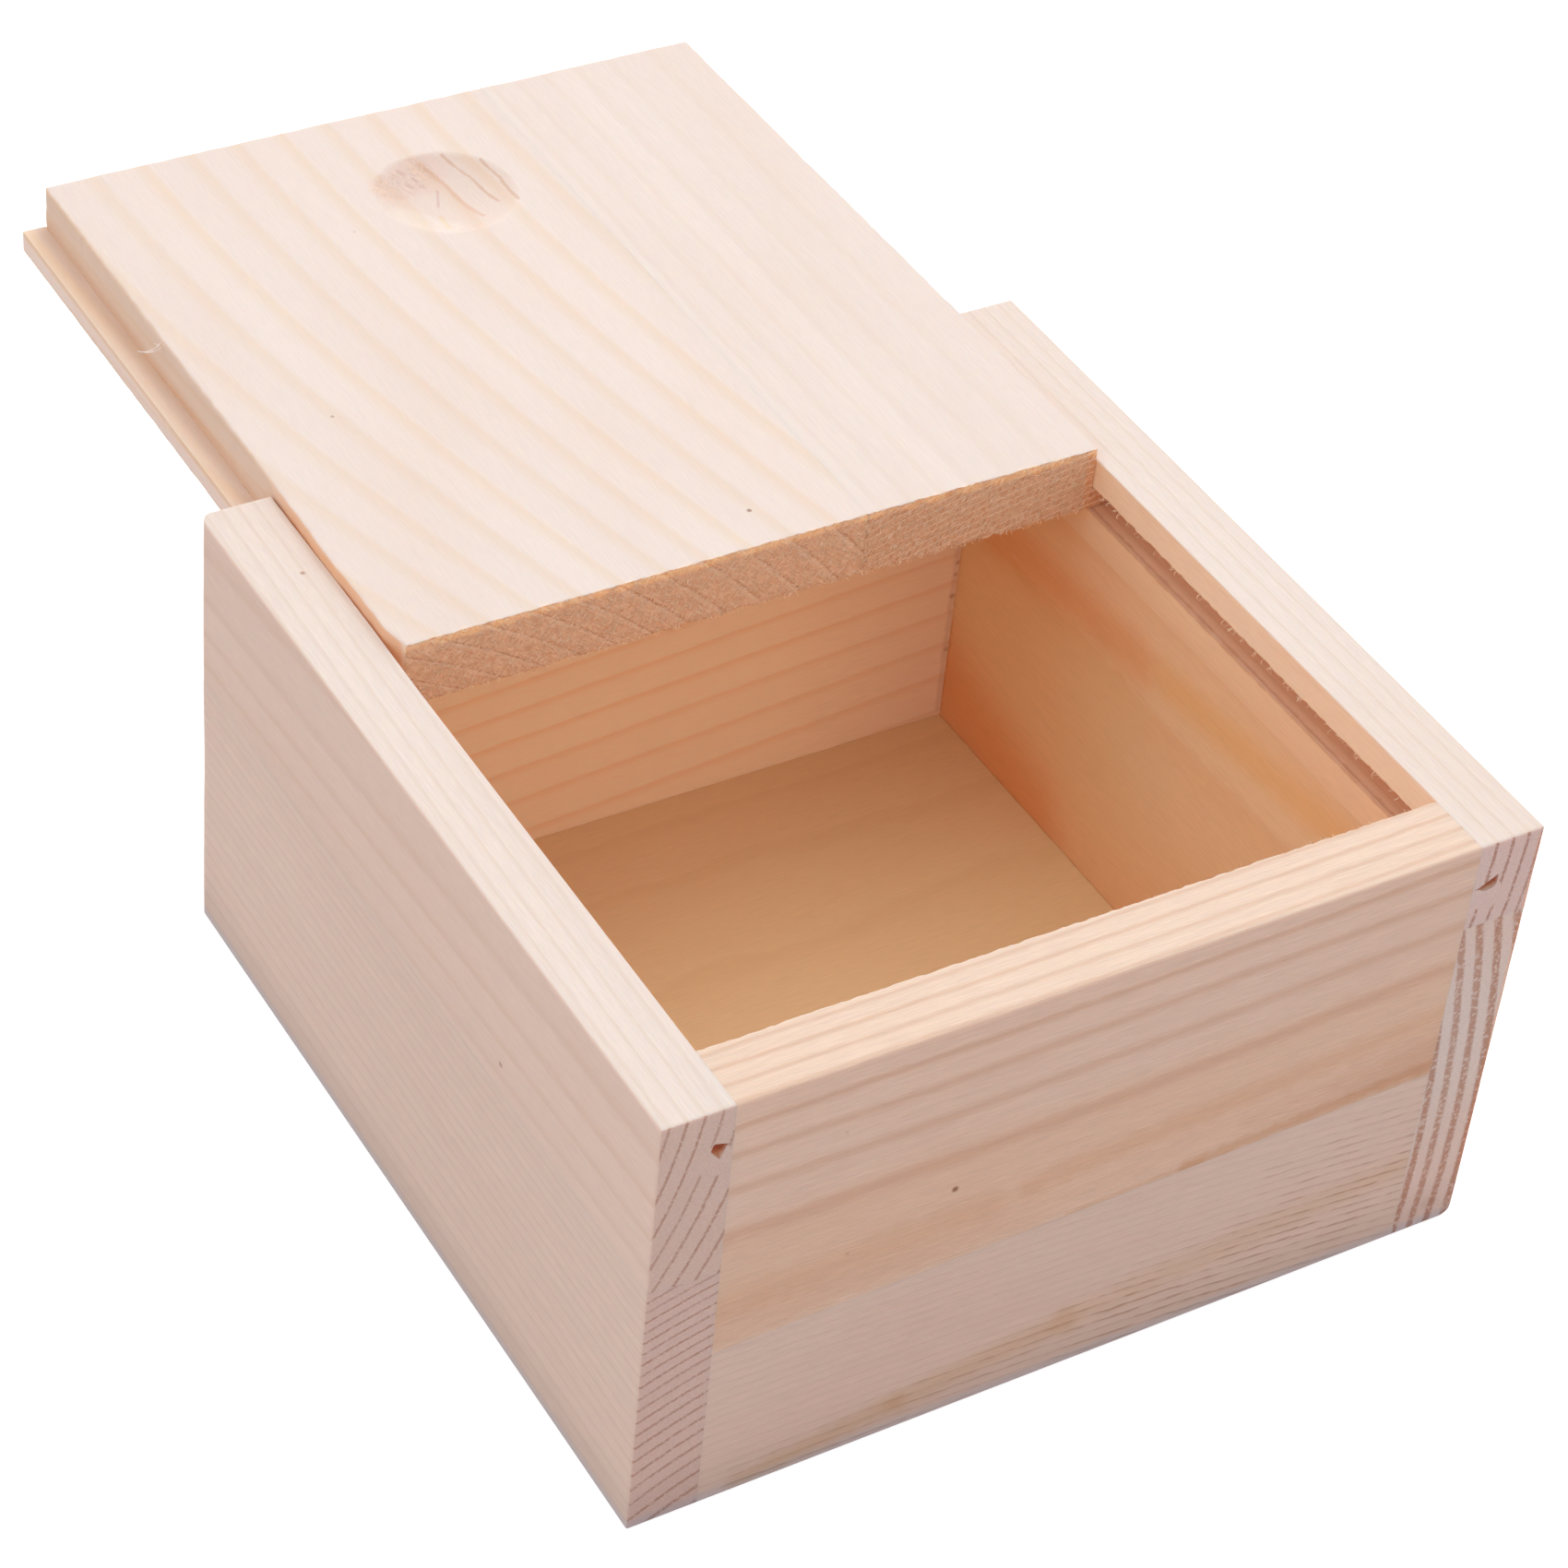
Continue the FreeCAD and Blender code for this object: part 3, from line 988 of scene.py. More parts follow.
# Painted shade near the ground, between so many millimetres: a broad grey one, and a narrower bluer one at
# the foot.
LOW_SHADE_TINT = (0.88, 0.88, 0.88)
LOW_SPAN = (0.5, 8.0)
FOOT_SHADE_TINT = (0.87, 0.99, 1.15)
FOOT_SPAN = (0.5, 1.8)
SAWN_THREAD = (1.0, 0.74, 0.54)
SAWN_DARK = (0.82, 0.69, 0.61)
SAWN_HEIGHT = 2.5
TORN_ROUGHNESS = 0.42
BUMP_HEIGHT = 0.05
DARK = (0.45, 0.32, 0.25)
RUST = (0.6, 0.42, 0.32)
OCHRE = (0.94, 0.87, 0.76)
EMBER = (0.93, 0.6, 0.4)
# Painted shade in the small holes beside the pegs, and a painted glow of the light bounced within them.
HOLE_SHADE = (0.6, 0.32, 0.24)
HOLE_BOUNCE_GLOW = (0.07, 0.018, 0.01)
GLUE = (0.74, 0.54, 0.46)
# Painted light: the orange glow of light through the wood at an arris.
ARRIS_GLOW_TINT = (1.1, 0.84, 0.66)
LIT_ARRIS = (0.14, 0.07, 0.01)

# How squarely a face must look along the grain to be all end grain, and upwards to be a top.
END_WHOLE = 0.9
TOP_SPAN = (0.6, 0.95)

GRAIN_TURN = {
    X: Matrix(((0, 1, 0), (0, 0, 1), (1, 0, 0))).to_euler(),
    Y: Matrix(((1, 0, 0), (0, 0, -1), (0, 1, 0))).to_euler(),
}


def blank_material(name):
    """A new material without nodes, and its layout."""
    material = bpy.data.materials.new(name)
    material.use_nodes = True
    material.node_tree.nodes.clear()
    return material, Net(material.node_tree)


def pine(name, grain, pith, rings_of, look_of, seed, marks=(), glows=(), bold=(), quiet=1.0, plain=None,
         end_from=0.45, sawn=0.0, cross=1.0, torn=None, lid=False):
    """A material of one strip of pine. grain is the axis that the fibres run along and pith the place of
    the trunk's middle in the cross-section. rings_of and look_of are made by rings and look. marks and
    glows are bands with a colour and a share each: marks are specks and streaks in the wood and also
    painted shade and light, and glows are painted light. bold, where the rings stand out more than quiet,
    are bands with a strength. plain is a plug without rings, and torn a stretch where the fibres are torn up.
    end_from is how squarely a face must cut the fibres before it counts as end grain. The material also
    has painted light on tops, inside the box and in the zones, and painted shade near the ground."""
    material, net = blank_material(name)
    coordinates = net.node("ShaderNodeTexCoord")
    inputs = {
        "Vector": coordinates["Object"], "Location": (-pith[0], -pith[1] if grain == X else pith[1], 0),
        "Rotation": GRAIN_TURN[grain], "Scale": TO_MM,
    }
    grain_place = net.node("ShaderNodeMapping", inputs, vector_type="POINT")["Vector"]
    place = coordinates["Object"] * TO_MM
    uneven = place.noise(0.6, 3.0) - 0.5

    def placed(group, inputs):
        return net.node("ShaderNodeGroup", inputs, node_tree=GROUPS[group])

    def mark(area):
        return placed("mark", {"Place": place, "Uneven": uneven, **area})["Mask"]

    normal = coordinates["Normal"].parts()
    zones = placed("zones", {"Place": place})
    open_air = 1.0 - net.maths("MAXIMUM", zones["Lip"], zones["Groove"])
    end = abs(normal[grain]).ramp(end_from, END_WHOLE)
    growth = placed("rings", {"Grain": grain_place, "Seed": seed, **rings_of})
    late = growth["Mask"]
    strength = quiet
    for area, more in bold:
        dashes = grain_place.noise((1.6, 1.6, 0.26), 2.0).ramp(0.42, 0.58, 0.15, 1.0)
        strength = strength + mark(area) * dashes * more
    if bold:
        late = late * strength
    end_rings = growth["End"]
    if plain:
        end_rings = end_rings * mark(plain).fall(0.0, 1.0)
    finish = placed("finish", {
        "Grain": grain_place, "Rings": late, "End Rings": end_rings, "Chance": growth["Chance"], "End": end,
        "Top": normal[Z].ramp(*TOP_SPAN) * open_air, "Inside": zones["Room"], "Seed": seed, **look_of,
    })
    colour = finish["Color"]
    glow = finish["Glow"]
    height = finish["Height"]
    parts = place.parts()
    # Painted warm bounce light on the lid's front end.
    if lid:
        colour = net.tint(end * parts[Y].fall(*LID_FRONT_SPAN), colour, LID_FRONT_BOUNCE_TINT)
    # Painted light and shade in the zones, as a tint and a glow.
    for zone in ("Gap",) if lid else ("Lip", "Groove"):
        zone_tint, zone_glow = ZONE_PAINTED_LIGHT[zone]
        colour = net.tint(zones[zone], colour, zone_tint)
        glow = net.blend(zones[zone], glow, zone_glow)
    for area, tint, share in marks:
        colour = net.tint(mark(area) * share, colour, tint)
    for area, tint, share in glows:
        glow = net.blend(mark(area) * share, glow, tint, "ADD")
    if sawn:
        rough = end * sawn
        if torn:
            rough = rough + mark(torn) * TORN_ROUGHNESS
        saw = placed("sawn", {"Place": place, "Cross": cross})
        colour = net.tint(saw["Dark"] * rough * rough, colour, SAWN_DARK)
        colour = net.blend(growth["Beside"] * rough, colour, SAWN_THREAD)
        colour = net.blend(saw["Threads"] * rough, colour, SAWN_THREAD)
        height = height + saw["Height"] * rough * SAWN_HEIGHT
    # Painted shade near the ground: greyer low down outside the box, and bluer at the foot.
    colour = net.tint(parts[Z].fall(*LOW_SPAN) * (1.0 - zones["Room"]), colour, LOW_SHADE_TINT)
    colour = net.tint(parts[Z].fall(*FOOT_SPAN), colour, FOOT_SHADE_TINT)
    inputs = {"Strength": 1.0, "Distance": BUMP_HEIGHT * MM, "Height": height}
    surface = net.node("ShaderNodeBsdfPrincipled", {
        "Base Color": colour, "Roughness": finish["Roughness"],
        "Normal": net.node("ShaderNodeBump", inputs)["Normal"], "Specular IOR Level": 0.3,
        "Subsurface Weight": 0.15, "Subsurface Radius": (1.0, 0.45, 0.2), "Subsurface Scale": 1.2 * MM,
        "Emission Color": glow, "Emission Strength": 1.0,
    })
    net.node("ShaderNodeOutputMaterial", surface["BSDF"])
    return material


def fibre_material(name, dull, bright, glow):
    """Loose hairs of wood. Light shines through them, which glow stands for."""
    material, net = blank_material(name)
    chance = net.node("ShaderNodeTexCoord")["Object"].noise(900.0, 1.0)
    share = chance.ramp(0.35, 0.65)
    surface = net.node("ShaderNodeBsdfPrincipled", {
        "Base Color": net.blend(share, dull, bright), "Roughness": chance.ramp(0.3, 0.7, 0.5, 0.8),
        "Emission Color": net.blend(share, BLACK, glow), "Emission Strength": 1.0, "Specular IOR Level": 0.2,
    })
    net.node("ShaderNodeOutputMaterial", surface["BSDF"])
    return material


def tinted(colour, tint):
    """A colour multiplied by another."""
    return tuple(one * other for one, other in zip(colour, tint))


def look(line, end_line=(0.7, 0.56, 0.49), cloud=0.3, pale=WHITE, end_pale=END_PALE, top=TOP_LIGHT_TINT,
         inside=(1.08, 0.95, 0.78), glow=(0.01, 0.003, 0.0), fibre=1.6):
    """The finish of a strip. line and end_line are what its growth rings do to the colour of the wood, pale
    what this strip does to the common colour, and top, inside and glow are painted light: top a painted
    highlight that makes tops paler and cooler, inside and glow painted bounce light on faces in the box."""
    return {
        "Pale": tinted(PALE, pale), "Line": line, "End Pale": end_pale, "End Line": end_line, "Top Light Tint": top,
        "Inside Bounce Tint": inside, "Inside Bounce Glow": glow, "Cloud": cloud, "Fibre": fibre,
    }


def rings(first, width, late=0.3, slow=0.35, edge=0.08, closing=0.0, slant=(0.0, 0.0), lean=0.0, bow=0.0,
          waver=0.3, fray=0.15, end_width=0.1, measured="middle"):
    """The growth rings of a strip. The first ring is measured to a dark line's middle or sharp edge."""
    if measured == "middle":
        first += late * width / 2
    return {
        "First Ring": first, "Ring Width": width, "Late": late, "Slow": slow, "Edge": edge,
        "Closing": closing, "Slant": (*slant, 0.0), "Lean": lean, "Bow": bow, "Waver": waver, "Fray": fray,
        "End Width": end_width,
    }


def band(start, finish, radius, waver=0.8, soft=0.6, deep=1):
    """Where a mark is: a soft band between two places. With deep 0 it goes right through from above."""
    return {
        "Start": start, "Finish": finish, "Radius": radius, "Softness": radius * soft, "Waver": waver,
        "Squash": (1, 1, deep),
    }


def spot(place, radius, waver, soft, deep=1):
    """A band that is only one place."""
    return band(place, place, radius, waver, soft, deep)


def speck(x, y, z, radius, tint, share=1.0):
    """A small dark speck."""
    return spot((x, y, z), radius, radius * 0.8, 0.5), tint, share


def streak(start, finish, radius, tint, share=1.0, waver=0.8, soft=0.6, deep=1):
    """A coloured band."""
    return band(start, finish, radius, waver, soft, deep), tint, share


def on_face(axis, level, *streaks):
    """Streaks on a face that is level along one axis. Their ends are given by the other two axes."""

    def lifted(place):
        return (*place[:axis], level, *place[axis:])

    return [streak(lifted(start), lifted(finish), *rest) for start, finish, *rest in streaks]


RECESS_Y = 93.3
# Fine lines across the finger recess: the places they pass, from its middle, half their width and tint.
RECESS_LINES = (
    (((3.1, 7.6), (4.9, 3.3), (5.6, -2.7)), 0.17, (0.86, 0.74, 0.63)),
    (((6.8, 4.9), (7.5, 1.0), (7.1, -4.6)), 0.15, (0.86, 0.74, 0.63)),
    (((0.1, 7.4), (1.8, 4.0), (2.9, -4.1)), 0.26, (0.93, 0.81, 0.73)),
    (((0.6, 3.3), (-0.65, 0.5)), 0.16, (0.88, 0.78, 0.79)),
    (((-1.3, -1.2), (-1.95, -5.1)), 0.34, (0.99, 0.94, 0.76)),
    (((-2.9, 6.9), (-2.2, 6.2)), 0.2, (0.9, 0.82, 0.8)),
    (((-1.5, 5.8), (-1.1, 5.1)), 0.24, (0.88, 0.8, 0.78)),
    (((-2.6, 5.0), (-1.9, 4.4)), 0.22, (0.88, 0.8, 0.78)),
    (((-1.2, 4.7), (-0.5, 4.1)), 0.2, (0.9, 0.82, 0.8)),
)


def recess_line(turns, radius, tint):
    """The streaks of a line across the finger recess. They stop a little short of each other, so that the
    line isn't darker where they meet."""
    marks = []
    for (x_from, y_from), (x_to, y_to) in zip(turns, turns[1:]):
        gap = 0.9 * radius / math.hypot(x_to - x_from, y_to - y_from)
        start = (x_from + gap * (x_to - x_from), RECESS_Y + y_from + gap * (y_to - y_from), 0)
        finish = (x_to - gap * (x_to - x_from), RECESS_Y + y_to - gap * (y_to - y_from), 0)
        marks.append(streak(start, finish, radius, tint, 0.85, 0.4, deep=0))
    return marks


# ---------------------------------------------------------------- the studio

CAMERA_PLACE = (-207.25, -298.17, 343.72)
CAMERA_TARGET = (2.15, 14.19, 27.5)
CAMERA_ROLL = math.radians(6.034)
CAMERA_LENS = 104.13

# The light of the room: evenly all round, more from overhead and from behind, less from the front.
SKY_LEVEL = 0.965
SKY_SLOPE = (0.04, 0.3, 0.0)
SKY_COLOUR = (1.0, 0.965, 1.0)
KEY_PLACE = (420, 380, 700)
KEY_TARGET = (0, 10, 30)
KEY_SIZE = 420
KEY_WATTS = 1.0
KEY_COLOUR = (0.86, 0.94, 1.0)
# The floor's shade and glow, for the light that it sends on and as it is seen.
FLOOR_REACH = 3000
FLOOR_LOOKS = ((0.55, 0.0), (0.6, 0.7))


def aim(place, target, roll=0.0):
    """The matrix of a camera or lamp that looks from a place to a target, in metres."""
    place = Vector(place) * MM
    forward = (Vector(target) * MM - place).normalized()
    right = forward.cross(Vector((0, 0, 1))).normalized()
    up = right.cross(forward)
    rolled_right = right * math.cos(roll) + up * math.sin(roll)
    rolled_up = up * math.cos(roll) - right * math.sin(roll)
    matrix = Matrix((rolled_right, rolled_up, -forward)).transposed().to_4x4()
    matrix.translation = place
    return matrix


def put_in_scene(name, data, matrix):
    """A camera or a lamp as an object of the scene."""
    thing = bpy.data.objects.new(name, data)
    bpy.context.scene.collection.objects.link(thing)
    thing.matrix_world = matrix
    return thing


def camera():
    """The scene's camera."""
    data = bpy.data.cameras.new("camera")
    data.lens = CAMERA_LENS
    data.clip_start = 0.01
    bpy.context.scene.camera = put_in_scene("camera", data, aim(CAMERA_PLACE, CAMERA_TARGET, CAMERA_ROLL))


def key_light():
    """A square area lamp."""
    data = bpy.data.lights.new("key", "AREA")
    data.shape = "SQUARE"
    data.size = KEY_SIZE * MM
    data.energy = KEY_WATTS
    data.color = KEY_COLOUR
    put_in_scene("key", data, aim(KEY_PLACE, KEY_TARGET))


def room_light():
    """The world's soft light."""
    world = bpy.data.worlds.new("studio")
    bpy.context.scene.world = world
    world.use_nodes = True
    net = Net(world.node_tree)
    way = net.node("ShaderNodeTexCoord")["Generated"]
    sky = world.node_tree.nodes["Background"].inputs
    net.feed(sky["Color"], SKY_COLOUR)
    net.feed(sky["Strength"], net.maths("DOT_PRODUCT", way, SKY_SLOPE) + SKY_LEVEL)


def studio_floor():
    """A wide pale floor. It looks nearly white but sends less light back up at the box."""
    corners = [(FLOOR_REACH * x, FLOOR_REACH * y, 0) for x, y in ((-1, -1), (1, -1), (1, 1), (-1, 1))]
    floor = mesh_object("studio_floor", np.array(corners, float), [(0, 1, 2, 3)])
    material, net = blank_material("white paper floor")
    shaders = []
    for shade, glow in FLOOR_LOOKS:
        shaders.append(net.node("ShaderNodeBsdfPrincipled", {
            "Base Color": (shade, shade, shade), "Roughness": 0.9, "Specular IOR Level": 0.1,
            "Emission Color": WHITE, "Emission Strength": glow,
        })["BSDF"])
    seen = net.node("ShaderNodeLightPath")["Is Camera Ray"]
    net.node("ShaderNodeOutputMaterial", net.node("ShaderNodeMixShader", seen, *shaders)["Shader"])
    floor.data.materials.append(material)


# ---------------------------------------------------------------- making everything

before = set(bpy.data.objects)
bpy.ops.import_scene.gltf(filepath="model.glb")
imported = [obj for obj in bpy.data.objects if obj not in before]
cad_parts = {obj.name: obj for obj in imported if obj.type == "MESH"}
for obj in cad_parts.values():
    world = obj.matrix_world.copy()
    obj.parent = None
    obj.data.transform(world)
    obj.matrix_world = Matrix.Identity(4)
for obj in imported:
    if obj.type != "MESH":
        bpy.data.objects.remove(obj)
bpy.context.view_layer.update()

bpy.context.scene.view_settings.view_transform = "Standard"
camera()
room_light()
key_light()
studio_floor()

GROUPS = {
    "rings": growth_rings_group(),
    "mark": mark_group(),
    "zones": zones_group(),
    "finish": finish_group(),
    "sawn": sawn_group(),
}

# The faces that carry streaks and specks, and the upper front edge of the lid.
LEFT_FACE = -50.5
FRONT_FACE = -50.5
RIGHT_WALL = 42.6
BACK_WALL = 42.9
FLOOR_TOP = 2
LID_TOP = 56.45
LID_END_LEFT = (-41.7, 20.1, 56.05)
LID_END_SEAM = (14, 20.1, 56.05)
LID_END_RIGHT = (42.4, 20.1, 56.05)

# Where the small holes beside the pegs get painted shade and, in the first two, a painted glow.
LEFT_HOLE = band((-43.95, -49.4, 49.9), (-43.95, -44, 49.9), 0.98, 0.2, 0.25)
RIGHT_HOLE = band((43.4, -49.2, 49.4), (45.8, -49.2, 49.8), 1.1, 0.2, 0.25)
RIGHT_HOLE_REAR = band((44.4, -48.6, 49.6), (44.4, -44, 49.6), 1.6, 0.2, 0.25)
HOLE_SHADES = [(hole, HOLE_SHADE, 1.0) for hole in (LEFT_HOLE, RIGHT_HOLE, RIGHT_HOLE_REAR)]
LIT_HOLES = [(hole, HOLE_BOUNCE_GLOW, 1.0) for hole in (LEFT_HOLE, RIGHT_HOLE)]

# In the looks, inside and glow are painted bounce light on the faces that look into the box.
MATERIALS = {
    "left_upper": pine(
        "pine of the left side, upper strip", Y, (-100.483, 63.80),
        rings(53.998, 1.8417, closing=-0.0148, slant=(0.00266, 0.01657), lean=-0.01058, bow=-8e-5, late=0.4,
              edge=0.15, fray=0.3),
        look((0.94, 0.91, 0.87), pale=(1.03, 1.025, 1.085), end_pale=(0.815, 0.6, 0.505)), 3.0,
        [speck(LEFT_FACE, -20.3, 37, 0.3, RUST, 0.7), speck(-44.8, 37, 55, 0.25, RUST, 0.8), HOLE_SHADES[0]],
        LIT_HOLES[:1],
        plain=spot((-44.4, FRONT_FACE, 48.6), 2.0, 0.6, 0.1),
    ),
    "left_lower": pine(
        "pine of the left side, lower strip", Y, (-26.962, -39.813),
        rings(69.066, 1.4115, closing=0.0098, late=0.45, edge=0.18, slow=0.15, end_width=0.12, fray=0.3),
        look((0.95, 0.93, 0.91), pale=(1.0, 1.01, 1.08)), 17.0,
        # Painted light: the face made lighter towards its rear.
        on_face(X, LEFT_FACE, ((50, 15), (36, 15), 24.0, (1.04, 1.045, 1.05), 1.0, 0.0, 0.9)),
    ),
    "right_upper": pine(
        "pine of the right side, upper strip", Y, (-42.943, 58.523),
        rings(87.583, 2.0768, closing=0.04134, fray=0.4, end_width=0.12),
        look((0.94, 0.91, 0.85), (0.62, 0.45, 0.38), pale=(1.03, 1.025, 1.085), end_pale=(0.86, 0.64, 0.57),
             inside=(1.06, 0.93, 0.73)), 31.0,
        # Painted light: orange glow along the front right arris.
        on_face(Y, FRONT_FACE, ((50.4, 44), (50.4, 54), 0.5, ARRIS_GLOW_TINT, 0.9, 0.3)) + on_face(
            X, RIGHT_WALL,
            # Painted shade along the groove's lower edge, and painted light on the front of the wall below
            # the groove.
            ((-42, 48.4), (46, 48.4), 0.45, (0.7, 0.53, 0.45), 0.8, 0.6),
            ((-42, 47), (20, 47), 4.0, (0.98, 1.06, 1.1), 1.0, 0.3, 1.0),
        ) + HOLE_SHADES[1:],
        LIT_HOLES[1:],
        plain=spot((44.8, FRONT_FACE, 47.8), 1.8, 0.6, 0.1),
    ),
    "right_lower": pine(
        "pine of the right side, lower strip", Y, (-97.78, 14.147),
        rings(143.290, 2.2285, closing=-0.01408, late=0.5, slow=0.4, edge=0.07, fray=0.45, end_width=0.24),
        look((0.95, 0.88, 0.8), (0.64, 0.41, 0.31), end_pale=(0.9, 0.67, 0.57)), 47.0,
        on_face(
            X, RIGHT_WALL,
            ((-32, 40.2), (2, 37.2), 2.3, (0.97, 0.87, 0.68), 1.0, 1.2, 0.9),
            ((7.5, 36.4), (38, 34.0), 2.9, EMBER, 0.6, 1.5, 0.9),
            # Painted shade low in the rear corner, painted light on the front half of the wall, painted shade
            # on its rear half.
            ((24, 3), (44, 8), 6.5, EMBER, 0.75, 1.5, 0.9),
            ((-42, 29), (2, 27), 15.0, (0.965, 1.085, 1.13), 1.0, 0.0, 0.7),
            ((18, 22), (44, 22), 14.0, (0.965, 0.98, 0.94), 1.0, 0.0, 0.7),
            ((42.9, 3), (42.9, 43), 0.3, GLUE, 0.4, 1.6),
        # Painted light: orange glow along the front right arris.
        ) + on_face(Y, FRONT_FACE, ((50.4, 8), (50.4, 43), 0.5, ARRIS_GLOW_TINT, 0.9, 0.3)) + [
            speck(46.75, FRONT_FACE, 3.2, 0.85, (0.9, 0.86, 0.82), 0.8),
        ],
    ),
    "peg": pine(
        "pine of the pegs", Y, (-80, 20), rings(30.0, 2.6), look((0.97, 0.95, 0.93), (0.93, 0.9, 0.88)), 53.0,
        HOLE_SHADES, LIT_HOLES,
    ),
    "front_upper": pine(
        "pine of the front board, upper strip", X, (-94.25, 25.75),
        rings(43.79, 1.9717, closing=0.00422, slant=(0.0279, 0.01727), lean=0.02526, bow=-0.00011,
              late=0.45, slow=0.2, edge=0.22, fray=0.4, waver=0.6, measured="edge"),
        look((0.87, 0.775, 0.71), pale=(1.06, 0.985, 0.99), top=(0.985, 1.085, 1.075), fibre=2.2), 59.0,
        [
            speck(-16.4, FRONT_FACE, 32.7, 0.36, DARK),
            speck(-28.2, FRONT_FACE, 29, 0.22, RUST, 0.3),
            speck(-30, FRONT_FACE, 46.2, 0.2, RUST, 0.25),
        ] + on_face(
            Y, FRONT_FACE,
            ((-46, 29.5), (46, 32.5), 8.2, (0.985, 0.935, 0.87), 0.9, 3.0, 0.3),
            ((-46, 28.0), (-12, 28.4), 1.9, (0.95, 0.88, 0.8), 0.8, 2.5, 0.9),
            ((-7.5, 29.1), (44, 32.6), 1.4, (0.95, 0.86, 0.77), 0.8, 2.0, 0.8),
            ((-2, 22.9), (14, 23.5), 0.4, (0.94, 0.86, 0.78), 0.8, 0.8),
            ((12, 23.5), (44, 25.3), 0.8, (0.88, 0.76, 0.65), 0.9, 1.2, 0.8),
        ),
    ),
    "front_lower": pine(
        "pine of the front board, lower strip", X, (-60, -200),
        rings(200.0, 1.2, lean=0.06, bow=0.000714, late=0.4, edge=0.15, waver=0.9, fray=0.6),
        look((0.72, 0.62, 0.56), pale=(1.01, 0.975, 1.03), fibre=2.0), 71.0,
        on_face(
            Y, FRONT_FACE,
            ((-38, 1), (-20, 3.8), 1.2, OCHRE, 0.9, 1.5, 0.9),
            ((-20, 3.8), (0, 6.5), 1.5, OCHRE, 0.9, 1.5, 0.9),
            ((0, 6.5), (42, 11), 1.8, OCHRE, 0.6, 1.5, 0.9),
        ),
        bold=(
            (band((6, FRONT_FACE, 1.0), (44, FRONT_FACE, 10), 6.5, 6.0, 0.8), 1.05),
            (band((26, FRONT_FACE, 17), (44, FRONT_FACE, 20), 2.5, 6.0, 0.8), 0.5),
            (band((-38, FRONT_FACE, 0.5), (6, FRONT_FACE, 6), 2.6, 2.0, 0.8), 0.7),
        ),
        quiet=0.2,
    ),
    "back": pine(
        "pine of the back board", X, (42.9, -60),
        rings(70.2, 4.8, closing=0.03, slant=(0.0, 0.075), late=0.35, measured="edge", waver=0.8, fray=0.4),
        look((0.93, 0.8, 0.68), inside=(1.12, 1.17, 1.09), glow=(0.07, 0.045, 0.03)), 83.0,
        on_face(
            Y, BACK_WALL,
            ((42.2, 3), (42.2, 47), 0.4, (0.84, 0.74, 0.68), 0.8, 0.8),
            # Painted shade on the back wall, towards the corner with the right wall.
            ((46, 5), (46, 50), 17.0, (0.84, 0.74, 0.72), 1.0, 0.0, 0.9),
        ) + [
            speck(x, BACK_WALL, z, radius, GLUE, share)
            for x, z, radius, share in (
                (42.4, 24.9, 0.3, 1.0), (42.3, 23.2, 0.3, 1.0), (42.2, 20, 0.35, 1.0), (42.3, 12, 0.3, 0.8),
            )
        ],
    ),
    "floor": pine(
        "pine of the floor panel", X, (0, -100), rings(100.0, 3.0, waver=2.5),
        look((0.96, 0.93, 0.9), inside=(1.14, 1.015, 0.775), glow=(0.03, 0.015, 0.0)), 97.0,
        on_face(
            Z, FLOOR_TOP,
            # Painted shade on the floor at the rear, under the lid, and beside the right wall.
            ((-30, 46), (46, 46), 22.0, (0.84, 0.76, 0.8), 1.0, 0.0, 0.9),
            ((44, 30), (44, -2), 24.0, (0.93, 0.91, 0.9), 1.0, 0.0, 0.9),
        ),
    ),
    "lid_wide": pine(
        "pine of the lid, wide strip", Y, (-74.78, -19.03),
        rings(92.816, 2.868, closing=-0.01847, slant=(-0.04686, 0.072), lean=0.10538, bow=-0.00083, late=0.5,
              slow=0.12, edge=0.14, fray=0.35, end_width=0.055),
        look((0.985, 0.932, 0.845), (0.75, 0.63, 0.55), end_pale=(0.855, 0.627, 0.545),
             top=(1.015, 1.15, 1.3), fibre=1.0), 101.0,
        [
            # Painted shade on the tongue's top beside the lid's wall, painted light on its outer edge, and
            # cooler painted light on its side face.
            streak((-41.9, 20, 51.1), (-41.9, 112, 51.1), 1.25, (0.89, 0.785, 0.7), 0.9, 0.5, 0.8),
            streak((-44.0, 20, 51.2), (-44.0, 112, 51.2), 0.9, (1.1, 1.04, 0.94), 0.9, 0.5, 0.6),
            streak((-44.5, 20, 49.6), (-44.5, 112, 49.6), 0.9, (1.18, 1.23, 1.36), 0.9, 0.3, 0.4),
            speck(2, 26, LID_TOP, 0.26, DARK, 0.9),
            speck(-31, 58.8, LID_TOP, 0.2, RUST, 0.7),
            speck(-13.3, 90, LID_TOP, 0.2, RUST, 0.25),
            # The recess made a little pinker all over; its rear wall pinker, partly torn fibres and partly
            # painted shade; its lower left side a painted highlight.
            (spot((0.3, RECESS_Y + 0.6, 0), 7.7, 1.5, 0.12, deep=0), (0.985, 0.95, 0.935), 0.9),
            *(
                streak((x_from, RECESS_Y + y_from, 0), (x_to, RECESS_Y + y_to, 0), *rest, deep=0)
                for x_from, y_from, x_to, y_to, *rest in (
                    (-5.5, 4, 1, 6, 2.2, (1.0, 0.955, 0.955), 0.9, 3.5, 0.5),
                    (-5.0, -1.5, -2.6, -4.6, 2.3, (1.03, 1.075, 1.08), 0.9, 1.5, 0.3),
                )
            ),
            *(mark for line in RECESS_LINES for mark in recess_line(*line)),
        ],
        [streak(LID_END_LEFT, LID_END_SEAM, 0.34, LIT_ARRIS, 1.0, 1.6, 0.8)],
        end_from=0.3, sawn=0.8, torn=band((-6, RECESS_Y + 4, 0), (0, RECESS_Y + 6, 0), 1.6, 3.0, 0.5, deep=0),
        lid=True,
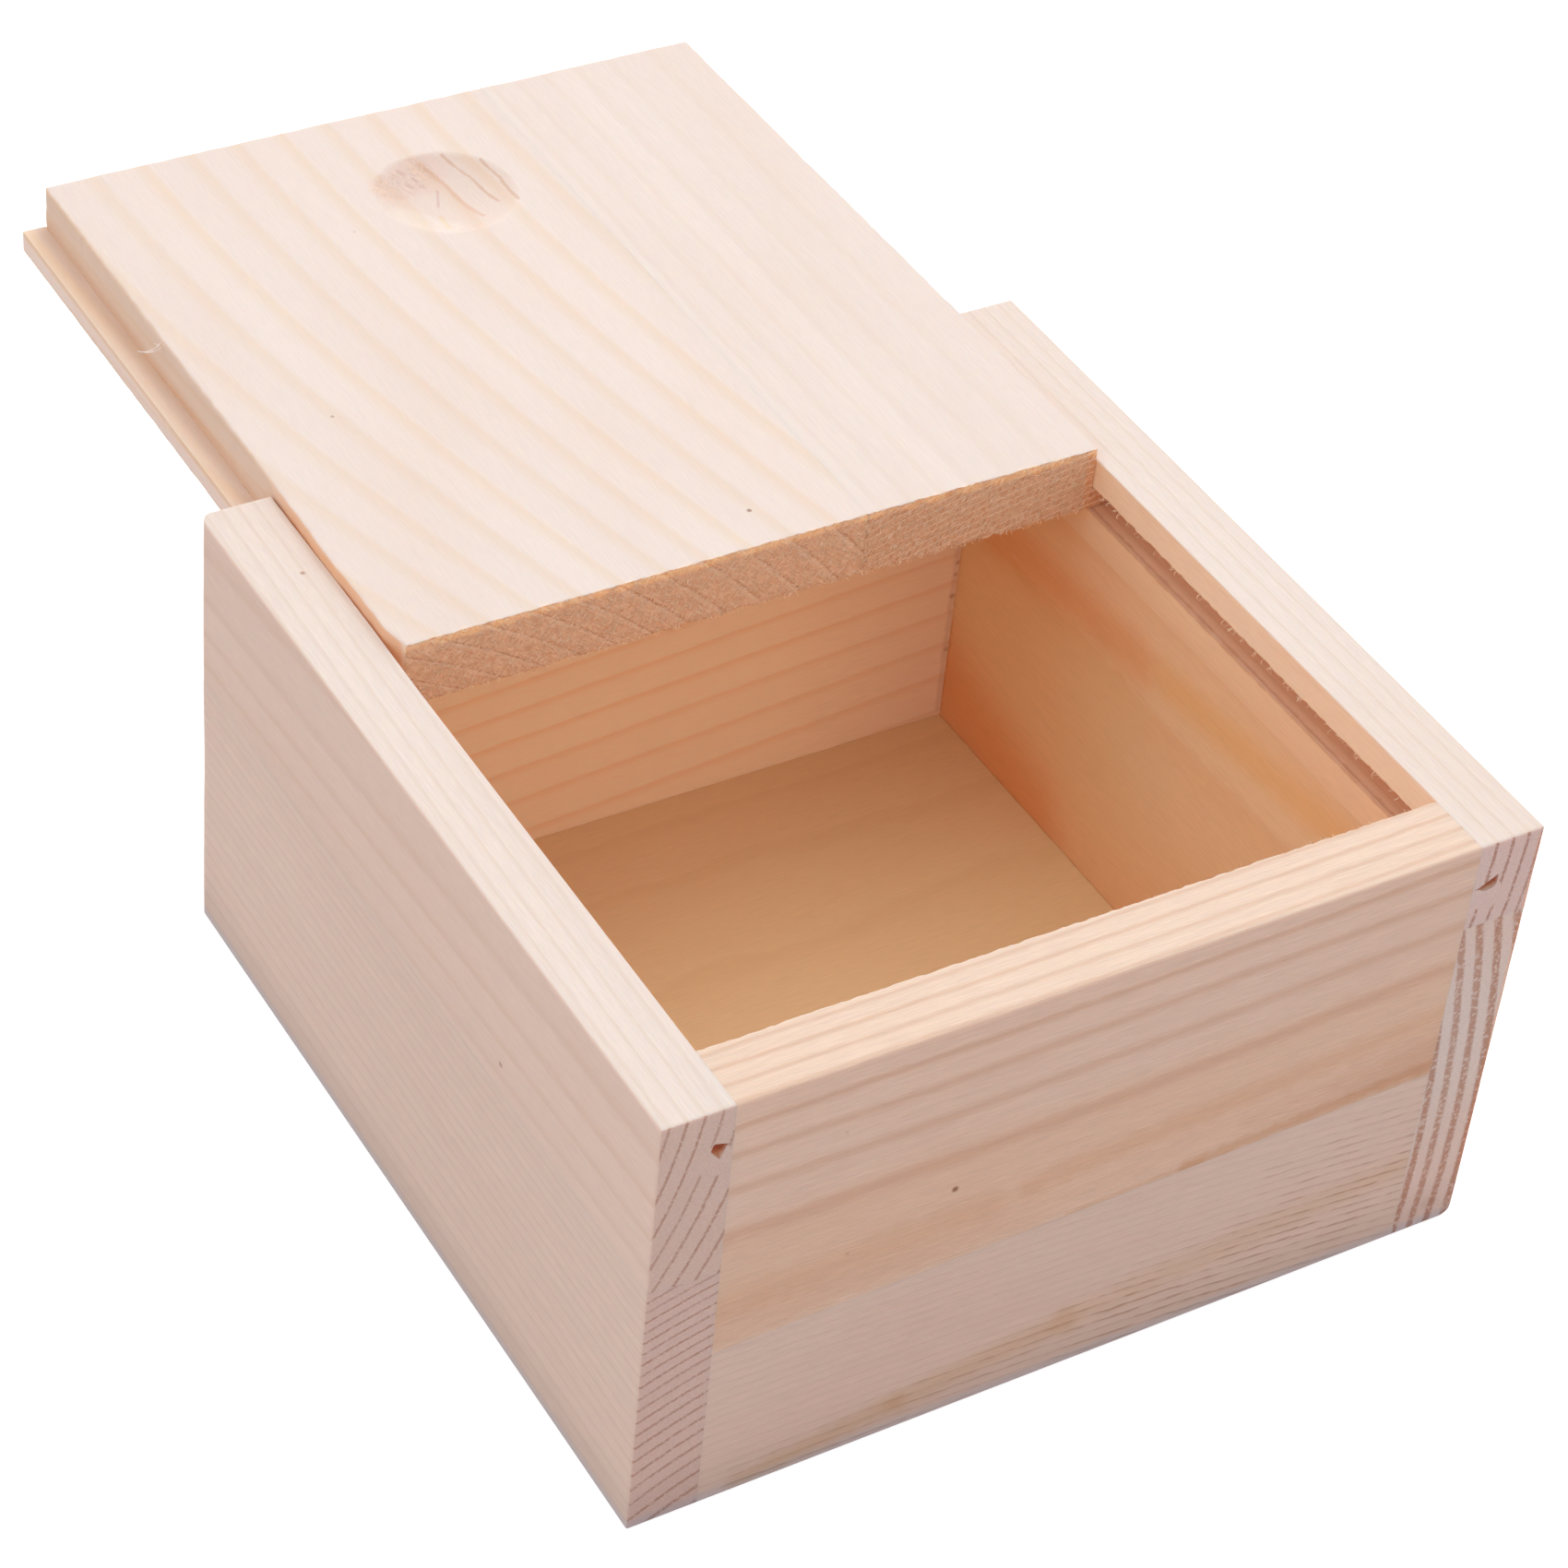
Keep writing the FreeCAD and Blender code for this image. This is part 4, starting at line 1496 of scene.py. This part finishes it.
    ),
    "lid_narrow": pine(
        "pine of the lid, narrow strip", Y, (60, -100),
        rings(160.0, 0.9, late=0.4, edge=0.2, end_width=0.08),
        look((0.98, 0.955, 0.93), (0.9, 0.84, 0.8), end_pale=(0.78, 0.55, 0.46), top=(1.01, 1.148, 1.295),
             fibre=1.0), 113.0,
        (), [streak(LID_END_SEAM, LID_END_RIGHT, 0.34, LIT_ARRIS, 1.0, 1.6, 0.8)],
        sawn=1.0, cross=0.2, lid=True,
    ),
}
SHARP_FROM = math.radians(50)


def dress(piece, node, body, material):
    """Finishes a piece of wood that stands for one CAD node."""
    piece.data.shade_smooth()
    piece.data.set_sharp_from_angle(angle=SHARP_FROM)
    piece.data.materials.clear()
    piece.data.materials.append(MATERIALS[material])
    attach(piece, body)
    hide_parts(node)


dress(side_strip(-1, True), "left_side_upper_strip", "box", "left_upper")
dress(side_strip(-1, False), "left_side_lower_strip", "box", "left_lower")
dress(side_strip(1, True), "right_side_upper_strip", "box", "right_upper")
dress(side_strip(1, False), "right_side_lower_strip", "box", "right_lower")
dress(front_strip(True), "front_upper_strip", "box", "front_upper")
dress(front_strip(False), "front_lower_strip", "box", "front_lower")
dress(back_board(), "back_board", "box", "back")
dress(floor_board(), "floor_panel", "box", "floor")
dress(groove_peg(-1), "left_groove_peg", "box", "peg")
dress(groove_peg(1), "right_groove_peg", "box", "peg")
dress(lid_strip(True), "lid_wide_strip", "lid", "lid_wide")
dress(lid_strip(False), "lid_narrow_strip", "lid", "lid_narrow")

# Loose fibres. Each bundle is a patch, then how many hairs there are, their length and thickness, the way
# they point, how far they stray from it, how much they curl, and the seed of chance.
LID_FRONT = box_mm("lid_wide_strip", "lid_narrow_strip")[0][Y] + 0.08
WARM_FIBRE = (srgb(240, 200, 160), srgb(252, 228, 200), (0.12, 0.065, 0.035))
WHITE_FIBRE = (srgb(248, 236, 226), srgb(252, 244, 236), (0.16, 0.12, 0.1))
PALE_FIBRE = (srgb(240, 208, 180), srgb(252, 236, 214), (0.08, 0.045, 0.02))
LOOSE_FIBRES = (
    (
        "lid_torn_fibres", "lid", fibre_material("loose fibres of the lid", *WARM_FIBRE),
        (
            (along_x(-41, 41, LID_FRONT, 48.6, 48.95), 420, 0.42, 0.026, (0, -0.6, -1), 0.9, 0.3, 1),
            (along_x(-41, 41, LID_FRONT, 48.7, 55.6), 900, 0.55, 0.026, (0, -0.25, 0.3), 1.1, 0.3, 2),
            (along_x(12.6, 14, LID_FRONT, 48.6, 53.0), 60, 0.55, 0.026, (0, -1, 0.3), 1.2, 0.5, 3),
        ),
    ),
    (
        "lid_splinters", "lid", fibre_material("white splinters", *WHITE_FIBRE),
        (
            (along_y(-41.8, 78.4, 79.6, 55.2, 55.9), 4, 2.3, 0.05, (-1, -0.2, 0.1), 0.3, 0.2, 4),
        ),
    ),
    (
        "box_torn_fibres", "box", fibre_material("loose pine fibres", *PALE_FIBRE),
        (
            (along_y(-42.6, -42, 20, 51.2, 51.5), 70, 0.5, 0.018, (1, 0, -0.4), 0.8, 0.5, 11),
            (along_y(42.6, -42, 20, 51.2, 51.5), 110, 0.5, 0.03, (-1, 0, -0.4), 0.8, 0.5, 12),
            (along_x(8, 42, -42.6, 54.5, 54.9), 60, 0.35, 0.016, (0, 1, 0.2), 0.8, 0.5, 13),
        ),
    ),
)
hairs = torn_fibres_tree()
for name, body, material, bundles in LOOSE_FIBRES:
    piece = gathered(name, [fibres(hairs, material, *bundle) for bundle in bundles], material)
    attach(piece, body)
